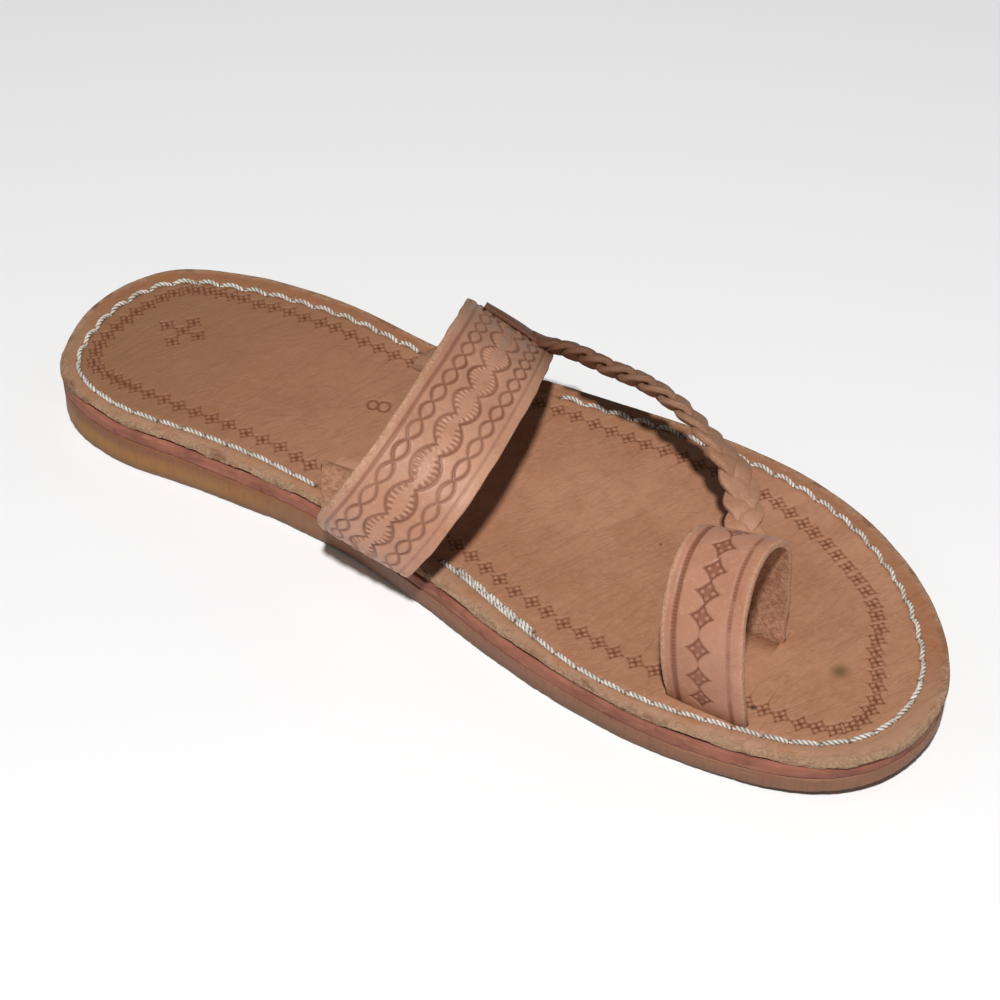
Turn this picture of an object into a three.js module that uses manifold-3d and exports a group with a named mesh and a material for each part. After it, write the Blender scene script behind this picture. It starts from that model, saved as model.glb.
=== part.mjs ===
// Left toe post sandal, about EU 39, in millimetres.
// A crepe wedge, a red midsole and a slotted leather footbed carry one upper: an instep
// strap, a flat three-strand plait and a big toe loop, joined where they meet.
// In the shoe's own sizes x runs from the back of the heel to the toe tip, y from the
// middle of the heel to the outer side of the foot, and z up from the floor.

import * as THREE from 'three';
import Module from 'manifold-3d';

const SOLE_LENGTH = 262;
const MIDSOLE_THICKNESS = 3.3;
const FOOTBED_THICKNESS = 3.2;
const LAYER_GAP = 0.3;
const TOE_SPRING = { from: 185, lift: 4 };
const STRAP_THICKNESS = 2.2;
const LOOP_THICKNESS = 2.2;
const PLAIT_WIDTH = 11.5;
const SLOT_CLEARANCE = 0.3;
const LYING_GAP = 0.45;
const SLOT_OVERCUT = 2;

// Distance of the sole's edge from the middle line, to the inner and the outer side.
const OUTLINE = [
  { at: 0, inner: 0, outer: 0 },
  { at: 8, inner: 24.7, outer: 22.8 },
  { at: 30, inner: 33.6, outer: 33.9 },
  { at: 60, inner: 31.4, outer: 38.9 },
  { at: 95, inner: 30.2, outer: 37.9 },
  { at: 130, inner: 35.8, outer: 43.9 },
  { at: 165, inner: 43.9, outer: 48.2 },
  { at: 195, inner: 47.4, outer: 47.7 },
  { at: 220, inner: 46.3, outer: 40.1 },
  { at: 242, inner: 41.1, outer: 25.2 },
  { at: 256, inner: 30.4, outer: 8.3 },
  { at: SOLE_LENGTH, inner: 11.2, outer: -11.2 },
];

// Thickness of the crepe wedge and the lift of the shank's underside along the sole.
const WEDGE = [
  { at: 0, thickness: 10.5, lift: 0 },
  { at: 35, thickness: 10.5, lift: 0 },
  { at: 85, thickness: 8.5, lift: 0 },
  { at: 118, thickness: 7.2, lift: 0.8 },
  { at: 150, thickness: 6, lift: 0 },
  { at: 200, thickness: 5.6, lift: 0 },
  { at: SOLE_LENGTH, thickness: 4.6, lift: 0 },
];

// Rows of each layer's edge, from its underside to its top.
const WEDGE_EDGE = [
  { inset: 0.8, height: 0 },
  { inset: 0.2, height: 0.12 },
  { inset: 0, height: 1 },
];
const MIDSOLE_EDGE = [
  { inset: 0, height: 0 },
  { inset: 0, height: 1 },
];
const FOOTBED_EDGE = [
  { inset: 0.2, height: 0 },
  { inset: 0, height: 0.3 },
  { inset: 0.2, height: 0.72 },
  { inset: 1, height: 1 },
];

// Slots and creases of the instep strap in plan: the strap comes up through its slot,
// lies flat on the footbed's margin and turns up at the crease.
const STRAP_FOOT = {
  slotBend: 2.2,
  creaseBend: 2,
  innerSlot: { heel: [89.5, -18], toe: [118.5, -13.6] },
  innerCrease: { heel: [101.7, -36.3], toe: [130.7, -38.8] },
  outerSlot: { heel: [88.5, 27.5], toe: [117, 29.8] },
  outerCrease: { heel: [92.8, 40.2], toe: [121, 41.2] },
};

// Sections of the instep strap from the inner crease over the foot to the outer crease:
// the middle of its thickness at the edge towards the heel and at the edge towards the toe.
const STRAP_SECTIONS = [
  { heel: [104.6, -41.2, 22], toe: [132.3, -41.7, 17.5] },
  { heel: [107.3, -44.2, 28.3], toe: [133.9, -42.7, 19.8] },
  { heel: [110.3, -45.4, 33.5], toe: [135.6, -42.8, 22.6] },
  { heel: [113.2, -45.1, 38.5], toe: [137.6, -42.4, 26.2] },
  { heel: [115.7, -43.3, 43.3], toe: [139.9, -41, 30.4] },
  { heel: [117.7, -40.2, 47.7], toe: [142.1, -37.7, 35.3] },
  { heel: [119, -35.8, 51.1], toe: [143.6, -33.1, 39.2] },
  { heel: [119.5, -30.6, 53.5], toe: [144.2, -27.4, 42] },
  { heel: [119.2, -25.1, 54.7], toe: [144.1, -21.4, 43.6] },
  { heel: [117.4, -13.5, 54.8], toe: [142.4, -9.2, 44.2] },
  { heel: [114.8, -2, 53.5], toe: [139.8, 2.5, 42.9] },
  { heel: [111.7, 9.3, 51.1], toe: [136.5, 13.8, 40.1] },
  { heel: [108.1, 19.9, 47.3], toe: [132.6, 24.5, 35.9] },
  { heel: [103.9, 29.8, 42.3], toe: [128.2, 34.3, 30.4] },
  { heel: [99.6, 37.2, 35.8], toe: [124.6, 40.6, 24.6] },
  { heel: [96.3, 41.3, 29], toe: [122.9, 42.7, 20.3] },
  { heel: [94.4, 42.7, 22.5], toe: [121.9, 43.1, 17.6] },
];

// Slots of the toe loop in plan, and its sections from the inner slot over the big toe.
const LOOP_FOOT = {
  innerSlot: { heel: [203.3, -37.5], toe: [224.9, -37.6] },
  outerSlot: { heel: [198.3, -9.4], toe: [220.1, -8.6] },
};
const LOOP_SECTIONS = [
  { heel: [202.6, -38, 16.8], toe: [224.4, -38.4, 18.6] },
  { heel: [201.8, -38, 21.3], toe: [223.5, -38.2, 24.2] },
  { heel: [200.8, -37.2, 25.7], toe: [222.4, -37.1, 29.6] },
  { heel: [199.8, -35.7, 30], toe: [221.2, -35.6, 34.6] },
  { heel: [198.7, -33.4, 34.1], toe: [220, -33.4, 39.3] },
  { heel: [197.7, -30.3, 37.6], toe: [218.9, -30.3, 43.3] },
  { heel: [196.8, -26.6, 40.5], toe: [217.9, -26.4, 46.5] },
  { heel: [196.1, -22.3, 42.5], toe: [217.2, -21.6, 48.4] },
  { heel: [195.8, -17.4, 43.2], toe: [216.9, -16.6, 49] },
  { heel: [195.9, -12.4, 42.2], toe: [217.2, -11.2, 47.4] },
  { heel: [196.3, -8.8, 39.2], toe: [217.8, -7.2, 43.2] },
  { heel: [196.8, -7.3, 33], toe: [218.4, -5.7, 37] },
  { heel: [197.3, -7.1, 25.5], toe: [219, -5.7, 28.5] },
  { heel: [197.8, -7.9, 18], toe: [219.6, -6.9, 19.5] },
];

// The tab on the strap's outer flank and the plait that runs from it down to the toe
// post: its middle, the direction of its flat side and its thickness.
const PLAIT_SECTIONS = [
  { middle: [107.7, 34.1, 40], flat: [0.4, -0.77, 0.51], thickness: 2.2 },
  { middle: [116, 35.6, 36], flat: [0.4, -0.77, 0.51], thickness: 2.2 },
  { middle: [123, 36.9, 32.5], flat: [0.4, -0.77, 0.51], thickness: 2.5 },
  { middle: [128.6, 37, 32.8], flat: [0.35, -0.75, 0.55], thickness: 4.2 },
  { middle: [137.7, 34.5, 35.6], flat: [0.25, -0.68, 0.69], thickness: 4.8 },
  { middle: [146.7, 32.1, 37.3], flat: [0.25, -0.68, 0.69], thickness: 4.8 },
  { middle: [155.2, 31.6, 37.7], flat: [0.25, -0.68, 0.69], thickness: 4.8 },
  { middle: [162, 30.8, 37.4], flat: [0.22, -0.7, 0.68], thickness: 4.8 },
  { middle: [168.2, 29.5, 36.6], flat: [0.18, -0.74, 0.65], thickness: 4.8 },
  { middle: [174.6, 27.3, 35.6], flat: [0.1, -0.78, 0.62], thickness: 4.8 },
  { middle: [181, 24.5, 34.5], flat: [-0.1, -0.82, 0.56], thickness: 4.8 },
  { middle: [187, 21.6, 32.9], flat: [-0.4, -0.8, 0.44], thickness: 4.8 },
  { middle: [191.4, 19.2, 30.4], flat: [-0.68, -0.69, 0.25], thickness: 4.8 },
  { middle: [194.5, 16.1, 28], flat: [-0.82, -0.56, 0.1], thickness: 4.8 },
  { middle: [197.2, 12.1, 26.8], flat: [-0.9, -0.43, 0.02], thickness: 4.8 },
  { middle: [199.6, 7.9, 25.2], flat: [-0.93, -0.37, 0], thickness: 4.8 },
  { middle: [202, 3.4, 22.3], flat: [-0.96, -0.28, 0], thickness: 4.8 },
  { middle: [204.2, -2, 18.6], flat: [-0.98, -0.15, 0], thickness: 4.8 },
  { middle: [205.4, -5.6, 14.4], flat: [-1, -0.05, 0], thickness: 4.6 },
  { middle: [205.6, -6.4, 10.3], flat: [-1, 0, 0], thickness: 4.6 },
];

// Turns, in degrees, at which the strap's end has rows in its bends.
const SLOT_BEND_TURNS = [0, 30, 60, 90];
const CREASE_BEND_TURNS = [0, 30, 60];

const OUTLINE_STEPS = 38;
const OUTLINE_NEARBY = 0.002;
const BAND_STEPS_PER_SECTION = 2;
const PLAIT_STEPS_PER_SECTION = 3;
const PLAIT_SIDES = 12;
const PLAIT_SQUARENESS = 0.6;
const EDGE_ROUNDING = 0.5;

const wasm = await Module();
wasm.setup();

// Value of one column of a table at a distance along the sole, in even steps between rows.
function tableValue(table, column, x) {
  const last = table.length - 1;
  const row = Math.max(1, table.findIndex((entry, index) => index === last || entry.at >= x));
  const [low, high] = [table[row - 1], table[row]];
  const part = THREE.MathUtils.clamp((x - low.at) / (high.at - low.at), 0, 1);
  return THREE.MathUtils.lerp(low[column], high[column], part);
}

function underside(x) {
  const reach = (x - TOE_SPRING.from) / (SOLE_LENGTH - TOE_SPRING.from);
  const spring = reach > 0 ? TOE_SPRING.lift * reach * reach : 0;
  return tableValue(WEDGE, 'lift', x) + spring;
}

function wedgeTop(x) {
  const spring = underside(x) - tableValue(WEDGE, 'lift', x);
  return tableValue(WEDGE, 'thickness', x) + spring;
}

const midsoleTop = (x) => wedgeTop(x) + MIDSOLE_THICKNESS;
const footbedTop = (x) => midsoleTop(x) + FOOTBED_THICKNESS;

// The sole's outline as one closed smooth curve over an angle that is 0 at the heel.
const outlineKnots = [
  ...OUTLINE.slice(1, -1).reverse().map((row) => ({ at: row.at, side: -1, y: -row.inner })),
  { at: 0, side: 1, y: OUTLINE[0].outer },
  ...OUTLINE.slice(1).map((row) => ({ at: row.at, side: 1, y: row.outer })),
].map(({ at, side, y }) => ({ angle: side * Math.acos(1 - (2 * at) / SOLE_LENGTH), y }));

function outlineKnot(index) {
  const count = outlineKnots.length;
  const turns = Math.floor(index / count);
  const knot = outlineKnots[index - turns * count];
  return { angle: knot.angle + turns * 2 * Math.PI, y: knot.y };
}

function outlineSlope(index) {
  const [before, after] = [outlineKnot(index - 1), outlineKnot(index + 1)];
  return (after.y - before.y) / (after.angle - before.angle);
}

function outlinePoint(angle) {
  const first = outlineKnots[0].angle;
  const turn = angle < first ? angle + 2 * Math.PI : angle;
  let index = 0;
  while (outlineKnot(index + 1).angle < turn) {
    index += 1;
  }
  const [low, high] = [outlineKnot(index), outlineKnot(index + 1)];
  const span = high.angle - low.angle;
  const t = (turn - low.angle) / span;
  const rise = t * t * (3 - 2 * t);
  const leave = (t * t * t - 2 * t * t + t) * span * outlineSlope(index);
  const arrive = (t * t * t - t * t) * span * outlineSlope(index + 1);
  const y = low.y + (high.y - low.y) * rise + leave + arrive;
  return new THREE.Vector2((SOLE_LENGTH * (1 - Math.cos(angle))) / 2, y);
}

function insetOutlinePoint(angle, inset) {
  const point = outlinePoint(angle);
  const [before, after] = [outlinePoint(angle - OUTLINE_NEARBY), outlinePoint(angle + OUTLINE_NEARBY)];
  const along = after.sub(before).normalize();
  return new THREE.Vector2(point.x + along.y * inset, point.y - along.x * inset);
}

function geometryFrom(points, triangles) {
  const geometry = new THREE.BufferGeometry();
  const positions = points.flatMap((point) => [point.x, point.y, point.z]);
  geometry.setAttribute('position', new THREE.Float32BufferAttribute(positions, 3));
  geometry.setIndex(triangles);
  return geometry;
}

function toSolid(geometry) {
  const vertProperties = new Float32Array(geometry.attributes.position.array);
  const triVerts = new Uint32Array(geometry.index.array);
  return new wasm.Manifold(new wasm.Mesh({ numProp: 3, vertProperties, triVerts }));
}

function toGeometry(solid) {
  const { vertProperties, triVerts } = solid.getMesh();
  const geometry = new THREE.BufferGeometry();
  geometry.setAttribute('position', new THREE.BufferAttribute(vertProperties, 3));
  geometry.setIndex(new THREE.BufferAttribute(triVerts, 1));
  return geometry;
}

// Side walls between rings of equal count, each ring running round the first one's way.
function wallTriangles(ringCount, ringSize) {
  const triangles = [];
  for (let ring = 0; ring < ringCount - 1; ring += 1) {
    for (let side = 0; side < ringSize; side += 1) {
      const next = (side + 1) % ringSize;
      const [a, b] = [ring * ringSize + side, ring * ringSize + next];
      const [c, d] = [a + ringSize, b + ringSize];
      triangles.push(a, b, d, a, d, c);
    }
  }
  return triangles;
}

// One layer of the sole. Its caps are strips between points that lie across from
// each other, so that they follow the sole's rise and fall.
function soleLayer(bottom, top, edge) {
  const size = 2 * OUTLINE_STEPS;
  const points = [];
  for (const { inset, height } of edge) {
    for (let step = 0; step < size; step += 1) {
      const angle = (Math.PI * step) / OUTLINE_STEPS;
      const wrapped = angle > Math.PI ? angle - 2 * Math.PI : angle;
      const flat = insetOutlinePoint(wrapped, inset);
      const z = THREE.MathUtils.lerp(bottom(flat.x), top(flat.x), height);
      points.push(new THREE.Vector3(flat.x, flat.y, z));
    }
  }
  const triangles = wallTriangles(edge.length, size);
  const topRing = (edge.length - 1) * size;
  for (let step = 0; step < OUTLINE_STEPS; step += 1) {
    const across = (size - step) % size;
    const [next, nextAcross] = [step + 1, size - step - 1];
    for (const [a, b, c] of [[step, next, nextAcross], [step, nextAcross, across]]) {
      if (a !== b && b !== c && a !== c) {
        triangles.push(a, c, b);
        triangles.push(topRing + a, topRing + b, topRing + c);
      }
    }
  }
  const geometry = geometryFrom(points, triangles);
  return toSolid(geometry).volume() > 0 ? geometry : geometryFrom(points, triangles.reverse());
}

// A solid through rings of points, closed by a fan at each end.
function loft(rings) {
  const size = rings[0].length;
  const triangles = wallTriangles(rings.length, size);
  const lastRing = (rings.length - 1) * size;
  for (let side = 1; side < size - 1; side += 1) {
    triangles.push(0, side + 1, side);
    triangles.push(lastRing, lastRing + side, lastRing + side + 1);
  }
  const points = rings.flat();
  const solid = toSolid(geometryFrom(points, triangles));
  return solid.volume() > 0 ? solid : toSolid(geometryFrom(points, triangles.reverse()));
}

function vector([x, y, z]) {
  return new THREE.Vector3(x, y, z);
}

function smoothLine(points) {
  return new THREE.CatmullRomCurve3(points, false, 'centripetal');
}

// A flat band of leather through sections given at its two edges.
function band(sections, thickness, growth) {
  const heelEdge = smoothLine(sections.map((row) => vector(row.heel)));
  const toeEdge = smoothLine(sections.map((row) => vector(row.toe)));
  const steps = (sections.length - 1) * BAND_STEPS_PER_SECTION;
  const half = thickness / 2 + growth;
  const rings = [];
  for (let step = 0; step <= steps; step += 1) {
    const t = step / steps;
    const [heel, toe] = [heelEdge.getPoint(t), toeEdge.getPoint(t)];
    const across = toe.clone().sub(heel).normalize();
    const along = heelEdge.getTangent(t).add(toeEdge.getTangent(t)).normalize();
    const out = new THREE.Vector3().crossVectors(along, across).normalize();
    const section = [
      [heel, growth, half - EDGE_ROUNDING],
      [heel, growth - EDGE_ROUNDING, half],
      [toe, EDGE_ROUNDING - growth, half],
      [toe, -growth, half - EDGE_ROUNDING],
      [toe, -growth, EDGE_ROUNDING - half],
      [toe, EDGE_ROUNDING - growth, -half],
      [heel, growth - EDGE_ROUNDING, -half],
      [heel, growth, EDGE_ROUNDING - half],
    ];
    const place = ([edge, beyond, height]) =>
      edge.clone().addScaledVector(across, -beyond).addScaledVector(out, height);
    rings.push(section.map(place));
  }
  return loft(rings);
}

// Rows of a strap's end, from the slot's floor to the start of its rise at the crease.
function strapFoot(slot, crease, deeper) {
  const rows = [];
  const edgeRow = (side, outward, height) => {
    const [slotX, slotY] = slot[side];
    const reach = new THREE.Vector2(crease[side][0] - slotX, crease[side][1] - slotY);
    const away = reach.clone().normalize().multiplyScalar(outward);
    const x = slotX + away.x;
    return [x, slotY + away.y, height(x)];
  };
  const addRow = (outward, height) => {
    const heel = edgeRow('heel', outward('heel'), height);
    const toe = edgeRow('toe', outward('toe'), height);
    rows.push({ heel, toe });
  };
  const reachOf = (side) =>
    Math.hypot(crease[side][0] - slot[side][0], crease[side][1] - slot[side][1]);
  const lying = (x) => footbedTop(x) + LYING_GAP + STRAP_THICKNESS / 2;
  addRow(() => 0, (x) => midsoleTop(x) + LAYER_GAP - deeper);
  const { slotBend, creaseBend } = STRAP_FOOT;
  for (const turn of SLOT_BEND_TURNS.map(THREE.MathUtils.degToRad)) {
    const outward = slotBend * (1 - Math.cos(turn));
    const below = slotBend * (1 - Math.sin(turn));
    addRow(() => outward, (x) => lying(x) - below);
  }
  addRow((side) => reachOf(side) / 2, lying);
  for (const turn of CREASE_BEND_TURNS.map(THREE.MathUtils.degToRad)) {
    const outward = creaseBend * Math.sin(turn);
    const above = creaseBend * (1 - Math.cos(turn));
    addRow((side) => reachOf(side) + outward, (x) => lying(x) + above);
  }
  return rows;
}

function loopFoot(slot, deeper) {
  const row = (height) => ({
    heel: [...slot.heel, height(slot.heel[0])],
    toe: [...slot.toe, height(slot.toe[0])],
  });
  return [row((x) => midsoleTop(x) + LAYER_GAP - deeper), row(footbedTop)];
}

function strapSections(deeper) {
  const inner = strapFoot(STRAP_FOOT.innerSlot, STRAP_FOOT.innerCrease, deeper);
  const outer = strapFoot(STRAP_FOOT.outerSlot, STRAP_FOOT.outerCrease, deeper);
  return [...inner, ...STRAP_SECTIONS, ...outer.reverse()];
}

function loopSections(deeper) {
  const inner = loopFoot(LOOP_FOOT.innerSlot, deeper);
  const outer = loopFoot(LOOP_FOOT.outerSlot, deeper);
  return [...inner, ...LOOP_SECTIONS, ...outer.reverse()];
}

// A sine or cosine drawn out so that a round section becomes a flat one with round edges.
function squared(part) {
  return Math.sign(part) * Math.abs(part) ** PLAIT_SQUARENESS;
}

// The tab and the plait as one flat, round-edged tube that turns as it runs.
function plait(growth, deeper) {
  const places = PLAIT_SECTIONS.map((row) => vector(row.middle));
  places.at(-1).z -= deeper;
  const middles = smoothLine(places);
  const flats = smoothLine(PLAIT_SECTIONS.map((row) => vector(row.flat)));
  const thicknesses = smoothLine(
    PLAIT_SECTIONS.map((row, index) => new THREE.Vector3(index, row.thickness, 0)),
  );
  const steps = (PLAIT_SECTIONS.length - 1) * PLAIT_STEPS_PER_SECTION;
  const rings = [];
  for (let step = 0; step <= steps; step += 1) {
    const t = step / steps;
    const middle = middles.getPoint(t);
    const along = middles.getTangent(t);
    const flat = flats.getPoint(t).projectOnPlane(along).normalize();
    const out = new THREE.Vector3().crossVectors(along, flat);
    const halfWidth = PLAIT_WIDTH / 2 + growth;
    const halfThickness = thicknesses.getPoint(t).y / 2 + growth;
    const ring = [];
    for (let side = 0; side < PLAIT_SIDES; side += 1) {
      const angle = (2 * Math.PI * (side + 0.5)) / PLAIT_SIDES;
      const wide = halfWidth * squared(Math.cos(angle));
      const high = halfThickness * squared(Math.sin(angle));
      ring.push(middle.clone().addScaledVector(flat, wide).addScaledVector(out, high));
    }
    rings.push(ring);
  }
  return loft(rings);
}

// The three straps as one solid, or grown and lengthened to cut their slots.
function upperSolid(growth, deeper) {
  const strap = band(strapSections(deeper), STRAP_THICKNESS, growth);
  const loop = band(loopSections(deeper), LOOP_THICKNESS, growth);
  return strap.add(loop).add(plait(growth, deeper));
}

function mesh(name, geometry, color, roughness) {
  const material = new THREE.MeshStandardMaterial({ color, roughness, metalness: 0 });
  const made = new THREE.Mesh(geometry, material);
  made.name = name;
  return made;
}

const outsole = mesh('outsole', soleLayer(underside, wedgeTop, WEDGE_EDGE), 0x9a6a34, 0.75);

const midsole = mesh(
  'midsole',
  soleLayer((x) => wedgeTop(x) + LAYER_GAP, midsoleTop, MIDSOLE_EDGE),
  0x8c4b41,
  0.8,
);

const footbedPlate = toSolid(soleLayer((x) => midsoleTop(x) + LAYER_GAP, footbedTop, FOOTBED_EDGE));
const footbed = mesh(
  'footbed',
  toGeometry(footbedPlate.subtract(upperSolid(SLOT_CLEARANCE, SLOT_OVERCUT))),
  0xac7d63,
  0.6,
);

const upper = mesh('upper', toGeometry(upperSolid(0, 0)), 0xc49075, 0.55);

const shoe = new THREE.Group();
shoe.add(outsole, midsole, footbed, upper);

// The origin lies under the middle of the sole's box.
const edgeYs = Array.from({ length: 2 * OUTLINE_STEPS }, (_, step) => {
  const angle = (Math.PI * (step - OUTLINE_STEPS + 1)) / OUTLINE_STEPS;
  return outlinePoint(angle).y;
});
const middleY = (Math.min(...edgeYs) + Math.max(...edgeYs)) / 2;
shoe.position.set(-SOLE_LENGTH / 2, -middleY, 0);

const sandal = new THREE.Group();
sandal.add(shoe);
export default sandal;
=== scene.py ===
import itertools
import math

import bpy
import numpy as np
from mathutils import Euler, Matrix, Vector


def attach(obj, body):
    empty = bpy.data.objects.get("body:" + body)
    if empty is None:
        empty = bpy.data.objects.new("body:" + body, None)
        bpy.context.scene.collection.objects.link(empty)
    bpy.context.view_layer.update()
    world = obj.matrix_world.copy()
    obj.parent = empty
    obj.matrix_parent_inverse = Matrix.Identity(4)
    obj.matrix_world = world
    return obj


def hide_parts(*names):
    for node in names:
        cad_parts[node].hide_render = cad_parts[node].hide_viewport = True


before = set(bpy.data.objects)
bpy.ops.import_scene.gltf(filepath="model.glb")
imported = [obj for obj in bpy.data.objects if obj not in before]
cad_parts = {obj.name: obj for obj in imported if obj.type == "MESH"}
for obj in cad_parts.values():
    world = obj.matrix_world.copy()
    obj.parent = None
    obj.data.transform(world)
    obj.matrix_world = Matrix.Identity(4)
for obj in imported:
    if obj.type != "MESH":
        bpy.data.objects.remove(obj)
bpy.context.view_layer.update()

# A left toe post sandal. Lengths are in millimetres in the shoe's own coordinates: x runs
# from the back of the heel to the toe tip, y from the middle of the heel to the outer side
# of the foot, and z up from the floor.

SOLE_LENGTH = 262.0
MIDSOLE_THICKNESS = 3.3
FOOTBED_THICKNESS = 3.2
LAYER_GAP = 0.3
TOE_SPRING_FROM = 185.0
TOE_SPRING_LIFT = 4.0
STRAP_THICKNESS = 2.2
LYING_GAP = 0.45
SLOT_CLEARANCE = 0.3
SLOT_BEND = 2.2
CREASE_BEND = 2.0
PLAIT_WIDTH = 11.5

# Steps round the outline whose middle is the frame's middle, and fine steps along each
# half of it.
BOX_STEPS = 76
HALF_STEPS = 8000

# Points round the crepe and the red layer, points round the footbed, and parts of the
# strips that cap each layer.
LAYER_COUNT = 1200
FOOTBED_COUNT = 1560
WEDGE_CAP_PARTS = 10
CAP_PARTS = 8


def table(names, rows):
    values = np.array(rows, float)
    return {name: values[:, index] for index, name in enumerate(names.split())}


# Distance of the sole's edge from the middle line, to the inner and the outer side.
OUTLINE = table("at inner outer", [
    (0, 0, 0), (8, 24.7, 22.8), (30, 33.6, 33.9), (60, 31.4, 38.9), (95, 30.2, 37.9),
    (130, 35.8, 43.9), (165, 43.9, 48.2), (195, 47.4, 47.7), (220, 46.3, 40.1),
    (242, 41.1, 25.2), (256, 30.4, 8.3), (SOLE_LENGTH, 11.2, -11.2),
])

# Height of the crepe wedge's top and the lift of its underside at the shank, without the
# toe spring.
WEDGE = table("at top lift", [
    (0, 10.5, 0), (35, 10.5, 0), (85, 8.5, 0), (118, 7.2, 0.8), (150, 6, 0), (200, 5.6, 0),
    (SOLE_LENGTH, 4.6, 0),
])

# Distance inside the edge of the seam round the footbed.
SEAM = table("at inner outer", [
    (0, 6.2, 6.2), (15, 4.7, 6.1), (35, 4.7, 6.4), (60, 5.6, 5.5), (74, 5.8, 5.0), (90, 5.0, 4.6),
    (136, 6.7, 4.7), (160, 5.6, 4.6), (180, 4.0, 4.9), (203, 4.9, 5.0), (220, 6.1, 5.1),
    (240, 6.0, 5.8), (252, 6.2, 6.4), (SOLE_LENGTH, 6.6, 6.6),
])

# Distance inside the edge of the chain of stamped stars, and the distance between stars.
STARS = table("at inner outer inner_pitch outer_pitch", [
    (0, 11.4, 11.4, 3.9, 4.1), (6, 9.1, 10.8, 3.7, 4.2), (16, 10.3, 9.2, 3.2, 3.3),
    (24, 11.8, 9.7, 3.3, 3.2),
    (34, 12.8, 10.7, 4.3, 4.4), (60, 12.0, 10.6, 5.4, 4.9), (75, 12.0, 10.2, 5.3, 4.9),
    (90, 10.4, 9.2, 5.3, 5.2), (125, 13.5, 9.4, 5.2, 5.6), (145, 12.9, 11.1, 5.4, 5.3),
    (165, 13.3, 12.2, 5.3, 5.1), (195, 14.0, 12.6, 5.2, 4.7), (212, 15.6, 14.0, 4.8, 4.9),
    (228, 14.0, 14.2, 4.6, 4.7), (240, 12.2, 13.9, 4.5, 4.6), (250, 10.4, 15.4, 4.0, 4.0),
    (257, 11.0, 17.6, 3.6, 3.9), (SOLE_LENGTH, 15.4, 15.4, 4.1, 4.1),
])
STAR_RADIUS = 2.8
STAR_DEPTH = 0.4
STAR_HOLLOW = 0.72
BEAD_AT = 0.41
TOE_STAR_TURN = math.radians(20)

# The five stars stamped as a cross in the heel.
HEEL_STARS = [(28.1, 8.9), (27.8, -0.6), (27.6, 4.6), (32.4, 4.9), (22.5, 4.2)]

# Slots and creases of the instep strap in plan, at its edge towards the heel and the toe.
INNER_SLOT = ((89.5, -18), (118.5, -13.6))
INNER_CREASE = ((101.7, -36.3), (130.7, -38.8))
OUTER_SLOT = ((88.5, 27.5), (117, 29.8))
OUTER_CREASE = ((92.8, 40.2), (121, 41.2))

# Sections of the instep strap from the inner crease to the outer one: the middle of its
# thickness at the edge towards the heel and at the edge towards the toe.
STRAP_SECTIONS = [
    ((104.6, -41.2, 22), (132.3, -41.7, 17.5)), ((107.3, -44.2, 28.3), (133.9, -42.7, 19.8)),
    ((110.3, -45.4, 33.5), (135.6, -42.8, 22.6)), ((113.2, -45.1, 38.5), (137.6, -42.4, 26.2)),
    ((115.7, -43.3, 43.3), (139.9, -41, 30.4)), ((117.7, -40.2, 47.7), (142.1, -37.7, 35.3)),
    ((119, -35.8, 51.1), (143.6, -33.1, 39.2)), ((119.5, -30.6, 53.5), (144.2, -27.4, 42)),
    ((119.2, -25.1, 54.7), (144.1, -21.4, 43.6)), ((117.4, -13.5, 54.8), (142.4, -9.2, 44.2)),
    ((114.8, -2, 53.5), (139.8, 2.5, 42.9)), ((111.7, 9.3, 51.1), (136.5, 13.8, 40.1)),
    ((108.1, 19.9, 47.3), (132.6, 24.5, 35.9)), ((103.9, 29.8, 42.3), (128.2, 34.3, 30.4)),
    ((99.6, 37.2, 35.8), (124.6, 40.6, 24.6)), ((96.3, 41.3, 29), (122.9, 42.7, 20.3)),
    ((94.4, 42.7, 22.5), (121.9, 43.1, 17.6)),
]

# Slots of the toe loop in plan, and its sections from the inner slot over the big toe.
LOOP_INNER_SLOT = ((203.3, -37.5), (224.9, -37.6))
LOOP_OUTER_SLOT = ((198.3, -9.4), (220.1, -8.6))
LOOP_SECTIONS = [
    ((202.6, -38, 16.8), (224.4, -38.4, 18.6)), ((201.8, -38, 21.3), (223.5, -38.2, 24.2)),
    ((200.8, -37.2, 25.7), (222.4, -37.1, 29.6)), ((199.8, -35.7, 30), (221.2, -35.6, 34.6)),
    ((198.7, -33.4, 34.1), (220, -33.4, 39.3)), ((197.7, -30.3, 37.6), (218.9, -30.3, 43.3)),
    ((196.8, -26.6, 40.5), (217.9, -26.4, 46.5)), ((196.1, -22.3, 42.5), (217.2, -21.6, 48.4)),
    ((195.8, -17.4, 43.2), (216.9, -16.6, 49)), ((195.9, -12.4, 42.2), (217.2, -11.2, 47.4)),
    ((196.3, -8.8, 39.2), (217.8, -7.2, 43.2)), ((196.8, -7.3, 33), (218.4, -5.7, 37)),
    ((197.3, -7.1, 25.5), (219, -5.7, 28.5)), ((197.8, -7.9, 18), (219.6, -6.9, 19.5)),
]

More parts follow.
